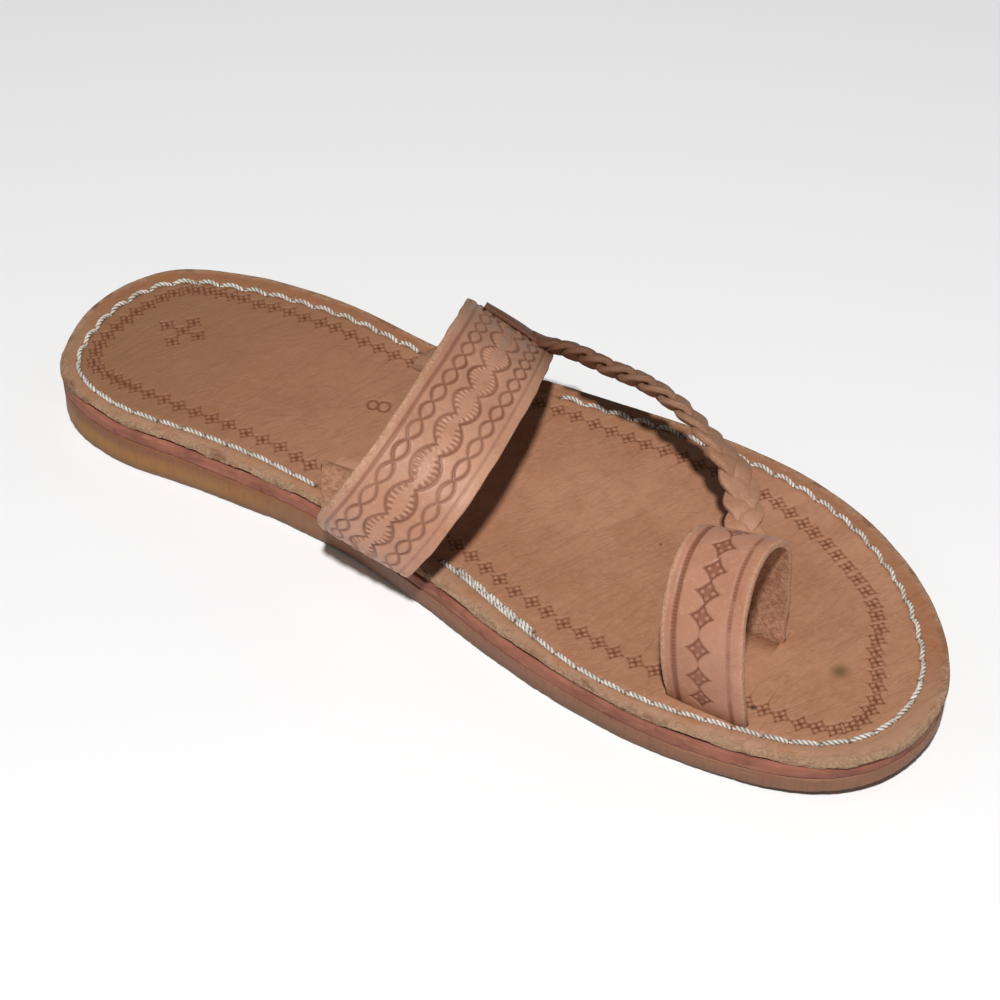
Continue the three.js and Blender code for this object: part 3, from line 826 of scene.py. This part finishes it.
# A band of leather through its sections. Its face is tooled by worked, which takes the
# distances along from the middle and across, and gives the depth and the darkness. Its
# rows are close together in fine_range and wider apart elsewhere.
def band_piece(name, replaced, rows, width, fine_range, fine_step, worked, bevels):
    heel, toe = zip(*rows)
    dense = np.linspace(0, len(rows) - 1, DENSE_STEPS)
    gone = distance_along((through(heel, dense) + through(toe, dense)) / 2)
    half_run = gone[-1] / 2
    places = [0.0]
    while places[-1] < gone[-1]:
        fine = fine_range[0] < places[-1] - half_run < fine_range[1]
        places.append(places[-1] + (fine_step if fine else 2.4 * fine_step))
    places[-1] = gone[-1]
    t = np.interp(places, gone, dense)
    h, q = through(heel, t), through(toe, t)
    across = unit(q - h)
    out = unit(np.cross(across, unit(np.gradient((h + q) / 2, axis=0))))
    v, lift, kind = band_section(width, bevels)
    grid = h[:, None] * (1 - v)[None, :, None] + q[:, None] * v[None, :, None]
    grid = grid + out[:, None] * lift[None, :, None]
    length = np.stack([distance_along(grid[:, column]) for column in range(len(v))], 1)
    centre = np.array([np.interp(half_run, places, length[:, column]) for column in range(len(v))])
    s = (length - centre).reshape(-1)
    u = np.tile(v * width, len(places))
    kind = np.tile(kind, len(places))
    face = kind == FACE
    deep, dark = worked(s, u)
    wave = lumps(7, 41, s, u) * 0.1 + lumps(2.5, 42, s, u) * 0.03
    outward = np.where(face, wave - deep, 0)
    sideways = lumps(5, 43, s, 0 * s) * 0.15 * (kind == EDGE)
    points = grid.reshape(-1, 3) + np.repeat(out, len(v), axis=0) * outward[:, None]
    points = points + np.repeat(across, len(v), axis=0) * sideways[:, None]
    rub = lumps(3, 44, s, u) * 0.35
    raw = np.maximum(1 - smooth(0.9, 1.9, u + rub), 0.5 * (1 - smooth(0.2, 0.9, np.minimum(u, width - u))))
    raw = np.where(face, raw, kind == EDGE)
    values = {"stamp": np.where(face, dark, 0), "raw": raw, "flesh": kind == BACK}
    return make_piece(name, points, tube_faces(len(places), len(v)), replaced, "strap_leather", values)


def line(off, half_width):
    return 1 - smooth(half_width * 0.5, half_width * 1.35, np.abs(off))


# Two lines that cross and part again, as a chain of pointed links. Returns the lines and
# the puffed leather inside the links.
def tooled_chain(s, u, crossings, middle, half):
    link = np.interp(s, crossings, np.arange(len(crossings)))
    part = link - np.floor(link)
    swell = half * np.sin(np.pi * part) ** 0.85
    slope = 1 + 0.25 * np.abs(np.cos(np.pi * part))
    off = np.minimum(np.abs(u - middle - swell), np.abs(u - middle + swell)) / slope
    inside = (np.abs(u - middle) < swell) & (s > crossings[0]) & (s < crossings[-1])
    puff = np.where(inside, np.sqrt(np.clip(1 - ((u - middle) / np.maximum(swell, 0.1)) ** 2, 0, 1)), 0)
    used = (s > crossings[0] - 1) & (s < crossings[-1] + 1)
    return line(off, 0.42) * used, puff


# A line of shells with short strokes inside their rims, which bulge to the toe where
# side is 1 and to the heel where it is -1. Returns the lines and the raised lobes.
def tooled_shells(s, u, middles, base, tall, side):
    middles = np.array(middles, float)
    ends = np.concatenate([[middles[0] - 5.4], (middles[1:] + middles[:-1]) / 2, [middles[-1] + 5.4]])
    which = np.clip(np.searchsorted(ends, s, side="right") - 1, 0, len(middles) - 1)
    middle = middles[which]
    half = np.where(s > middle, ends[which + 1] - middle, middle - ends[which])
    part = np.clip((s - middle) / half, -1, 1)
    rim = base + side * tall * np.cos(np.pi / 2 * part) ** 0.8
    used = (s > ends[0]) & (s < ends[-1])
    deep = line((u - rim) / (1 + 0.45 * np.abs(part)), 0.4)
    inward = (rim - u) * side
    fan = (s - middle) * (1 + 0.09 * inward)
    stroke = np.abs(fan / STROKE_PITCH - np.round(fan / STROKE_PITCH - 0.5) - 0.5) * STROKE_PITCH
    wide = 0.52 * (1 - 0.25 * inward)
    reach = 2.7 - 1.0 * np.abs(part)
    body = (inward > -0.1) * (1 - smooth(reach * 0.7, reach, inward)) * (np.abs(part) < 0.86)
    strokes = (1 - smooth(wide * 0.4, wide * 1.4, stroke)) * body
    puff = smooth(0.3, 0.6, stroke) * smooth(0.3, 0.8, inward) * body
    return np.maximum(deep, strokes * 0.9) * used, puff * used


# The instep strap: a border line at each side, two chains and between them two lines of
# shells, with shallow folds on the inner side.
def strap_worked(s, u):
    lean = smooth(-5, 12, s)
    heel_border = line(u - (2.9 + 0.4 * lean), 0.5)
    toe_border = line(u - 24.8, 0.35)
    heel_chain, heel_puff = tooled_chain(s, u, HEEL_CHAIN, 6.3 + 0.6 * lean, 1.65)
    toe_chain, toe_puff = tooled_chain(s, u, TOE_CHAIN, 21.2 + 0.4 * lean, 1.6)
    heel_shells, heel_lobes = tooled_shells(s, u, HEEL_SHELLS, 12.9 + 0.2 * lean, 3.0, -1)
    toe_shells, toe_lobes = tooled_shells(s, u, TOE_SHELLS, 14.9 + 0.5 * lean, 2.8, 1)
    lines = np.maximum.reduce([heel_chain, toe_chain, heel_shells, toe_shells])
    lines = lines * (0.78 + 0.22 * lumps(5, 51, s, u))
    borders = np.maximum(heel_border, toe_border * 0.6)
    fold = np.exp(-((s + 44 + 0.25 * (u - 10)) / 3.5) ** 2) * 0.25
    fold += np.exp(-((s + 52 - 0.2 * u) / 2.5) ** 2) * 0.3
    raised = 0.14 * (heel_puff + toe_puff) + 0.2 * (heel_lobes + toe_lobes)
    deep = 0.42 * lines + 0.35 * borders - raised + 0.3 * fold
    return deep, np.clip(lines + 0.6 * borders, 0, 1)


# The toe loop: two crimped border lines, and stars on a thin joining line.
def loop_worked(s, u):
    crimp = 0.5 + 0.5 * np.sin(2 * np.pi * s / CRIMP_PITCH)
    broken = 0.55 + 0.45 * smooth(-0.3, 0.3, lumps(2.6, 61, s, 0 * u))
    toe_border = line(u - 18.3, 0.62) * (0.5 + 0.35 * crimp) * broken
    borders = np.maximum(line(u - 3.7, 0.78) * (0.7 + 0.3 * crimp), toe_border)
    joining = line(u - np.interp(s, *zip(*LOOP_STARS)), 0.2) * (s > -42) * (s < 38) * 0.45
    stamped = np.zeros(len(s))
    for place in LOOP_STARS:
        near = near_place(s, u, place, 4.2)
        made = star(s[near] - place[0], u[near] - place[1], 0.05, LOOP_STAR_RADIUS, 0.13, 0.25)
        stamped[near] = np.maximum(stamped[near], made)
    stamped = np.maximum(stamped, joining)
    return 0.35 * stamped + 0.3 * borders, np.clip(stamped + borders, 0, 1)


strap_rows = strap_foot(INNER_SLOT, INNER_CREASE) + STRAP_SECTIONS
strap_rows += strap_foot(OUTER_SLOT, OUTER_CREASE)[::-1]
strap = band_piece("instep_strap", "upper", strap_rows, STRAP_WIDTH, (-70, 68), 0.33, strap_worked,
                   (0.45, 0.3))
loop_rows = loop_foot(LOOP_INNER_SLOT) + LOOP_SECTIONS + loop_foot(LOOP_OUTER_SLOT)[::-1]
loop = band_piece("toe_loop", None, loop_rows, LOOP_WIDTH, (-60, 60), 0.3, loop_worked, (0.3, 0.4))


# The plait's middle line, flat side and thickness by distance along it.
plait_dense = np.linspace(0, len(PLAIT_SECTIONS) - 1, 4000)
plait_middles, plait_flats, plait_thicks = zip(*PLAIT_SECTIONS)
plait_line = through(plait_middles, plait_dense)
plait_flat = through(plait_flats, plait_dense)
plait_thick = np.interp(plait_dense, np.arange(len(PLAIT_SECTIONS)), plait_thicks)
plait_run = distance_along(plait_line)


# Its middle, the direction of its flat side and the direction that it faces.
def plait_frame(run):
    middle = np.stack([np.interp(run, plait_run, plait_line[:, axis]) for axis in range(3)], 1)
    flat = np.stack([np.interp(run, plait_run, plait_flat[:, axis]) for axis in range(3)], 1)
    along = unit(np.gradient(middle, axis=0))
    flat = unit(flat - (flat * along).sum(1, keepdims=True) * along)
    return middle, flat, np.cross(along, flat)


# A flat strip of leather along a path, with rounded edges, a slightly uneven surface and
# a darkening along it, which is partly painted shade and partly darker leather.
def strip_piece(name, path, wide, normal, width, thickness, squareness, uneven, shade):
    turns = 2 * math.pi * (np.arange(STRIP_SIDES) + 0.5) / STRIP_SIDES
    across = np.copysign(np.abs(np.cos(turns)) ** 0.75, np.cos(turns)) / 2
    up = np.copysign(np.abs(np.sin(turns)) ** squareness, np.sin(turns)) / 2
    grid = path[:, None] + wide[:, None] * (across[None] * width[:, None])[:, :, None]
    points = (grid + normal[:, None] * up[None, :, None] * thickness).reshape(-1, 3)
    size, seed, depth = uneven
    points = points + lumps(size, seed, *points.T)[:, None] * depth
    raw = np.tile(0.35 + 0.5 * smooth(0.86, 0.99, 2 * np.abs(across)), len(path))
    values = {"raw": raw, "shade": np.repeat(shade, STRIP_SIDES)}
    return make_piece(name, points, tube_faces(len(path), STRIP_SIDES), None, "strap_leather", values)


def tab_piece():
    run = np.arange(0, TAB_END, 0.4)
    middle, flat, face = plait_frame(run)
    width = TAB_WIDTH + TAB_WIDENS * smooth(3, TAB_END, run)
    # The whole tab is darkened: partly painted shade, partly darker leather.
    shade = np.ones(len(run))
    return strip_piece("plait_tab", middle, flat, face, width, TAB_THICKNESS, 0.35, (4, 71, 0.08), shade)


# One of the three strands: it swings from side to side of the plait once for each period,
# and passes over and under the others twice.
def strand_piece(number):
    run = np.arange(PLAIT_FROM, plait_run[-1], 0.35)
    middle, flat, face = plait_frame(run)
    turn = 2 * np.pi * (run - PLAIT_FROM) / PLAIT_PERIOD + 2 * np.pi * number / 3
    begun = smooth(PLAIT_FROM, PLAIT_FROM + 7, run)
    thick = np.interp(run, plait_run, plait_thick)
    over = np.clip((thick - STRAND_THICKNESS) / 2, 0.15, 1.25) * (0.25 + 0.75 * begun)
    over = over * (1 - 0.5 * smooth(58, 84, run))
    swing = np.arcsin(0.95 * np.sin(turn)) / math.asin(0.95) * (0.5 + 0.5 * begun)
    path = middle + flat * (PLAIT_SWING * swing)[:, None] + face * (over * np.sin(2 * turn))[:, None]
    heading = unit(np.gradient(path, axis=0))
    wide = unit(np.cross(face, heading))
    width = STRAND_WIDTH * (0.75 + 0.25 * begun)
    normal = np.cross(heading, wide)
    # Darker near the strap, fading towards the toe: partly painted shade, partly darker leather.
    shade = 1 - 0.85 * smooth(14, 80, run)
    uneven = (3, 72 + number, 0.06)
    name = f"plait_strand_{number + 1}"
    return strip_piece(name, path, wide, normal, width, STRAND_THICKNESS, 0.45, uneven, shade)


plait = [tab_piece()] + [strand_piece(number) for number in range(3)]


# A colour from its usual red, green and blue, each from 0 to 255.
def colour(*parts):
    parts = [part / 255 for part in parts]
    return (*(part / 12.92 if part <= 0.04045 else ((part + 0.055) / 1.055) ** 2.4 for part in parts), 1)


# A material that starts from one colour, and is tinted and bumped step by step. Sizes and
# depths are in millimetres.
class Finish:
    def __init__(self, name):
        self.material = bpy.data.materials.new(name)
        self.material.use_nodes = True
        self.tree = self.material.node_tree
        self.shader = self.tree.nodes["Principled BSDF"]
        self.place = self.add("ShaderNodeTexCoord", {}).outputs["Object"]
        self.base = None
        self.normal = None

    def put(self, socket, given):
        if isinstance(given, bpy.types.NodeSocket):
            self.tree.links.new(given, socket)
        else:
            socket.default_value = given

    def add(self, kind, inputs, **settings):
        node = self.tree.nodes.new(kind)
        for key, setting in settings.items():
            setattr(node, key, setting)
        for key, given in inputs.items():
            self.put(node.inputs[key], given)
        return node

    def noise(self, size, detail, rough, stretch=(1, 1, 1), warp=0.0, turn=0.0):
        place = self.place
        if turn:
            turned = self.add("ShaderNodeVectorRotate", {"Vector": place, "Angle": math.radians(turn)},
                              rotation_type="Z_AXIS")
            place = turned.outputs["Vector"]
        scaled = self.add("ShaderNodeMapping", {"Vector": place, "Scale": stretch}).outputs["Vector"]
        inputs = {"Vector": scaled, "Scale": 1000 / size, "Detail": detail, "Roughness": rough}
        return self.add("ShaderNodeTexNoise", {**inputs, "Distortion": warp}).outputs["Fac"]

    def cells(self, size):
        inputs = {"Vector": self.place, "Scale": 1000 / size}
        return self.add("ShaderNodeTexVoronoi", inputs).outputs["Distance"]

    def axis(self, letter):
        return self.add("ShaderNodeSeparateXYZ", {0: self.place}).outputs[letter]

    def value(self, name):
        return self.add("ShaderNodeAttribute", {}, attribute_name=name).outputs["Fac"]

    def maths(self, operation, first, second=0.0):
        return self.add("ShaderNodeMath", {0: first, 1: second}, operation=operation).outputs[0]

    def times(self, first, second):
        return self.maths("MULTIPLY", first, second)

    def ranged(self, given, low, high, to_low=0.0, to_high=1.0):
        inputs = {"Value": given, "From Min": low, "From Max": high, "To Min": to_low, "To Max": to_high}
        return self.add("ShaderNodeMapRange", inputs, interpolation_type="SMOOTHSTEP").outputs["Result"]

    def mix(self, part, first, second):
        return self.add("ShaderNodeMix", {0: part, 6: first, 7: second}, data_type="RGBA").outputs[2]

    def two_tone(self, noise, first, second, low=0.35, high=0.65):
        return self.mix(self.ranged(noise, low, high), colour(*first), colour(*second))

    def near(self, point, radius, soft):
        inputs = {0: self.place, 1: to_frame(point)}
        off = self.add("ShaderNodeVectorMath", inputs, operation="DISTANCE").outputs["Value"]
        return self.ranged(off, (radius - soft) / 1000, (radius + soft) / 1000, 1.0, 0.0)

    # Thin winding creases, where stretched noise is at one level.
    def creases(self, size, stretch, turn, level, width):
        noise = self.noise(size, 4, 0.6, stretch, 0.6, turn)
        return self.ranged(self.maths("ABSOLUTE", self.maths("SUBTRACT", noise, level)), 0.0, width, 1, 0)

    def tint(self, part, shade):
        self.base = self.mix(part, self.base, colour(*shade))

    def patches(self, noise, low, high, strength, shade):
        self.tint(self.ranged(noise, low, high, 0, strength), shade)

    def marks(self, name, strength, shade):
        self.tint(self.times(self.value(name), strength), shade)

    def bump(self, height, depth):
        inputs = {"Strength": 1.0, "Distance": depth / 1000, "Height": height}
        if self.normal is not None:
            inputs["Normal"] = self.normal
        self.normal = self.add("ShaderNodeBump", inputs).outputs["Normal"]

    def done(self, rough):
        self.put(self.shader.inputs["Base Color"], self.base)
        self.put(self.shader.inputs["Roughness"], rough)
        self.put(self.shader.inputs["Normal"], self.normal)
        return self.material


# Stains on the footbed: place, radius, softness, strength and colour.
STAINS = [
    (236.4, -11.2, 1.9, 1.7, 0.75, (84, 72, 36)), (223.5, -31.7, 0.8, 0.5, 0.85, (40, 28, 26)),
    (178.1, 4.9, 0.4, 0.3, 0.7, (80, 45, 30)),
]


def footbed_finish():
    f = Finish("footbed_leather_finish")
    f.base = f.two_tone(f.noise(46, 3, 0.55), (177, 127, 99), (161, 115, 86))
    blotch = f.noise(11, 4, 0.6, warp=0.6)
    f.patches(blotch, 0.42, 0.7, 0.55, (158, 104, 76))
    f.patches(f.noise(1.6, 3, 0.6), 0.45, 0.75, 0.3, (190, 140, 110))
    f.patches(f.noise(2.4, 4, 0.65, (1, 0.3, 1), 0.6, 20), 0.52, 0.72, 0.45, (150, 100, 74))
    f.tint(f.ranged(f.axis("X"), -0.131, 0.04, 0.9, 0), (138, 98, 69))
    rim = f.mix(f.value("inner"), colour(150, 102, 72), colour(160, 122, 96))
    f.base = f.mix(f.times(f.value("margin"), 0.75), f.base, rim)
    f.tint(f.times(f.value("margin"), f.ranged(f.noise(9, 3, 0.6), 0.5, 0.7, 0, 0.5)), (156, 98, 56))
    wrinkle = f.creases(5, (1, 0.24, 1), 24, 0.5, 0.045)
    f.tint(f.times(wrinkle, 0.16), (142, 92, 68))
    f.tint(f.times(f.creases(4, (1, 0.26, 1), 14, 0.47, 0.04), 0.05), (206, 158, 128))
    raw_edge = f.two_tone(f.noise(0.9, 3, 0.7), (138, 108, 84), (172, 142, 114))
    raw_edge = f.mix(f.ranged(f.noise(6, 3, 0.6), 0.5, 0.66, 0, 0.8), raw_edge, colour(108, 70, 45))
    f.base = f.mix(f.times(f.value("raw"), 0.9), f.base, raw_edge)
    # Painted shade in the seam's groove and in the needle holes; the stamps between them are the tooled
    # leather's own colour.
    f.marks("groove", 0.35, (120, 84, 58))
    f.marks("stamp", 0.92, (104, 54, 28))
    f.marks("hole", 0.9, (40, 28, 20))
    for x, y, radius, soft, strength, shade in STAINS:
        f.tint(f.times(f.near((x, y, float(footbed_top(x))), radius, soft), strength), shade)
    f.bump(f.noise(9, 3, 0.55, warp=0.8), 0.3)
    f.bump(f.times(wrinkle, -1.0), 0.06)
    f.bump(f.noise(2.2, 3, 0.6, (1, 0.6, 1)), 0.1)
    f.bump(f.cells(0.7), 0.035)
    f.bump(f.times(f.noise(0.5, 2, 0.7), f.value("raw")), 0.35)
    f.bump(f.times(f.noise(3.2, 4, 0.7, (0.5, 0.5, 1.5)), f.value("raw")), 0.9)
    f.shader.inputs["Specular IOR Level"].default_value = 0.35
    return f.done(f.maths("ADD", f.ranged(blotch, 0.3, 0.7, 0.5, 0.62), f.times(f.value("raw"), 0.25)))


# The straps' leather: its face in three tones, raw edges, fleshy back, painted shade on the far
# side, the plait darkened by painted shade and darker leather, and the dark tooling.
def strap_finish(name, light, middle, dark, tooled):
    f = Finish(name)
    f.base = f.two_tone(f.noise(26, 3, 0.55), light, middle)
    blotch = f.noise(6, 4, 0.62, warp=0.5)
    f.patches(blotch, 0.5, 0.75, 0.4, dark)
    f.patches(f.noise(1.2, 3, 0.65), 0.5, 0.85, 0.3, (226, 178, 150))
    raw_edge = f.two_tone(f.noise(0.8, 3, 0.7), (172, 128, 98), (206, 162, 132))
    f.base = f.mix(f.times(f.value("raw"), 0.7), f.base, raw_edge)
    flesh = f.two_tone(f.noise(1.4, 4, 0.7), (150, 104, 78), (188, 138, 108))
    f.base = f.mix(f.value("flesh"), f.base, flesh)
    # Painted shade: the far side, towards high Y, is darkened.
    f.patches(f.axis("Y"), 0.002, 0.036, 0.75, (130, 97, 75))
    # The tab's and plait's darkening: partly painted shade, partly darker leather.
    f.marks("shade", 0.9, (92, 52, 32))
    f.marks("stamp", 0.8, tooled)
    fuzzy = f.maths("ADD", f.value("raw"), f.value("flesh"))
    f.bump(f.noise(5, 3, 0.55, warp=0.7), 0.12)
    f.bump(f.noise(1.7, 3, 0.6), 0.06)
    f.bump(f.cells(0.6), 0.03)
    f.bump(f.times(f.noise(0.5, 2, 0.7), fuzzy), 0.3)
    f.shader.inputs["Specular IOR Level"].default_value = 0.4
    return f.done(f.maths("ADD", f.ranged(blotch, 0.3, 0.7, 0.44, 0.56), f.times(fuzzy, 0.25)))


# Crepe: honey at the heel, brown at the front, painted shade near the floor, with knife marks.
def crepe_finish():
    f = Finish("crepe_finish")
    knife = f.noise(1.0, 3, 0.6, (1, 1, 0.12))
    broad = f.noise(30, 3, 0.6)
    honey = f.ranged(f.axis("X"), -0.095, -0.005, 1, 0)
    f.base = f.two_tone(broad, (124, 80, 56), (140, 94, 68), 0.3, 0.7)
    f.tint(honey, (152, 102, 40))
    f.patches(knife, 0.42, 0.7, 0.3, (98, 62, 38))
    f.patches(f.noise(2.4, 3, 0.6, (0.2, 0.2, 1.6)), 0.5, 0.75, 0.35, (160, 112, 74))
    # Painted shade: darker near the floor.
    f.tint(f.ranged(f.axis("Z"), 0.0, 0.0045, 0.6, 0), (84, 54, 32))
    f.tint(f.times(honey, f.ranged(f.axis("Z"), 0.005, 0.009, 0, 0.75)), (116, 66, 46))
    f.bump(knife, 0.16)
    f.bump(f.noise(0.9, 3, 0.6), 0.08)
    f.shader.inputs["Subsurface Weight"].default_value = 0.04
    f.shader.inputs["Subsurface Scale"].default_value = 0.002
    f.shader.inputs["Subsurface Radius"].default_value = (1, 0.5, 0.25)
    return f.done(f.ranged(broad, 0.3, 0.7, 0.55, 0.68))


def red_finish():
    f = Finish("red_layer_finish")
    streak = f.noise(2, 4, 0.65, (0.25, 0.25, 1.4))
    f.base = f.two_tone(f.noise(12, 3, 0.6), (150, 90, 70), (124, 72, 54))
    f.patches(streak, 0.5, 0.72, 0.6, (172, 118, 94))
    f.patches(f.noise(5, 3, 0.6), 0.58, 0.72, 0.6, (92, 48, 36))
    f.bump(streak, 0.12)
    f.bump(f.noise(0.7, 3, 0.6), 0.08)
    return f.done(f.ranged(streak, 0.3, 0.7, 0.7, 0.82))


def thread_finish():
    f = Finish("thread_finish")
    f.base = f.two_tone(f.noise(2.5, 3, 0.6), (226, 220, 210), (190, 182, 170))
    f.patches(f.noise(14, 2, 0.6), 0.5, 0.7, 0.5, (150, 140, 128))
    # Painted shade in the groove between the two strands.
    f.marks("core", 1.0, (84, 70, 56))
    f.bump(f.noise(0.25, 2, 0.6), 0.04)
    return f.done(f.ranged(f.noise(4, 2, 0.5), 0.3, 0.7, 0.6, 0.75))


def give(material, *pieces):
    for piece in pieces:
        piece.data.materials.clear()
        piece.data.materials.append(material)


give(crepe_finish(), outsole)
give(red_finish(), midsole)
give(footbed_finish(), footbed)
give(thread_finish(), stitching)
for name, pieces, colours in (
        ("strap", [strap], ((190, 140, 114), (176, 126, 100), (150, 100, 74), (104, 56, 36))),
        ("loop", [loop], ((181, 129, 104), (164, 113, 88), (150, 98, 74), (104, 50, 30))),
        ("plait", plait, ((184, 132, 100), (166, 114, 84), (140, 92, 64), (104, 56, 36)))):
    give(strap_finish(f"{name}_leather_finish", *colours), *pieces)


# The floor, the light and the camera, in metres in the frame.
def floor():
    mesh = bpy.data.meshes.new("floor")
    mesh.from_pydata([(-4, -4, 0), (4, -4, 0), (4, 4, 0), (-4, 4, 0)], [], [(0, 1, 2, 3)])
    plane = new_object("floor", mesh)
    f = Finish("floor_finish")
    f.shader.inputs["Base Color"].default_value = (0.9, 0.9, 0.9, 1)
    f.shader.inputs["Roughness"].default_value = 0.9
    f.shader.inputs["Specular IOR Level"].default_value = 0.1
    mesh.materials.append(f.material)


# Where the camera is, how far it is turned from looking along y, and how far it looks
# down, in degrees.
CAMERA_PLACE = (0.245564, -0.398010, 0.467167)
CAMERA_TURN = 31.4955
CAMERA_DOWN = 44.4996


def camera():
    data = bpy.data.cameras.new("camera")
    data.lens = 90
    data.sensor_width = 36
    data.clip_start = 0.01
    data.clip_end = 30
    made = new_object("camera", data)
    turn = Euler((math.radians(90 - CAMERA_DOWN), 0, math.radians(CAMERA_TURN)))
    made.matrix_world = Matrix.LocRotScale(Vector(CAMERA_PLACE), turn, None)
    bpy.context.scene.camera = made


def area_light(name, place, aim, size, power):
    data = bpy.data.lights.new(name, "AREA")
    data.shape = "DISK"
    data.size = size
    data.energy = power
    made = new_object(name, data)
    made.location = place
    made.rotation_euler = (Vector(place) - Vector(aim)).to_track_quat("Z", "Y").to_euler()


def studio(brightness):
    world = bpy.data.worlds.new("studio")
    world.use_nodes = True
    background = world.node_tree.nodes["Background"]
    background.inputs["Color"].default_value = (1, 1, 1, 1)
    background.inputs["Strength"].default_value = brightness
    bpy.context.scene.world = world
    bpy.context.scene.view_settings.view_transform = "Standard"


floor()
camera()
area_light("key", (0.34, -0.6, 1.32), (0.02, 0, 0.02), 0.1, 22.5)
area_light("side", (-0.7, -0.6, 0.7), (0, 0, 0.02), 0.7, 0.5)
area_light("far_side", (0.5, 0.9, 0.8), (0, 0, 0.02), 0.8, 0.4)
studio(0.09)
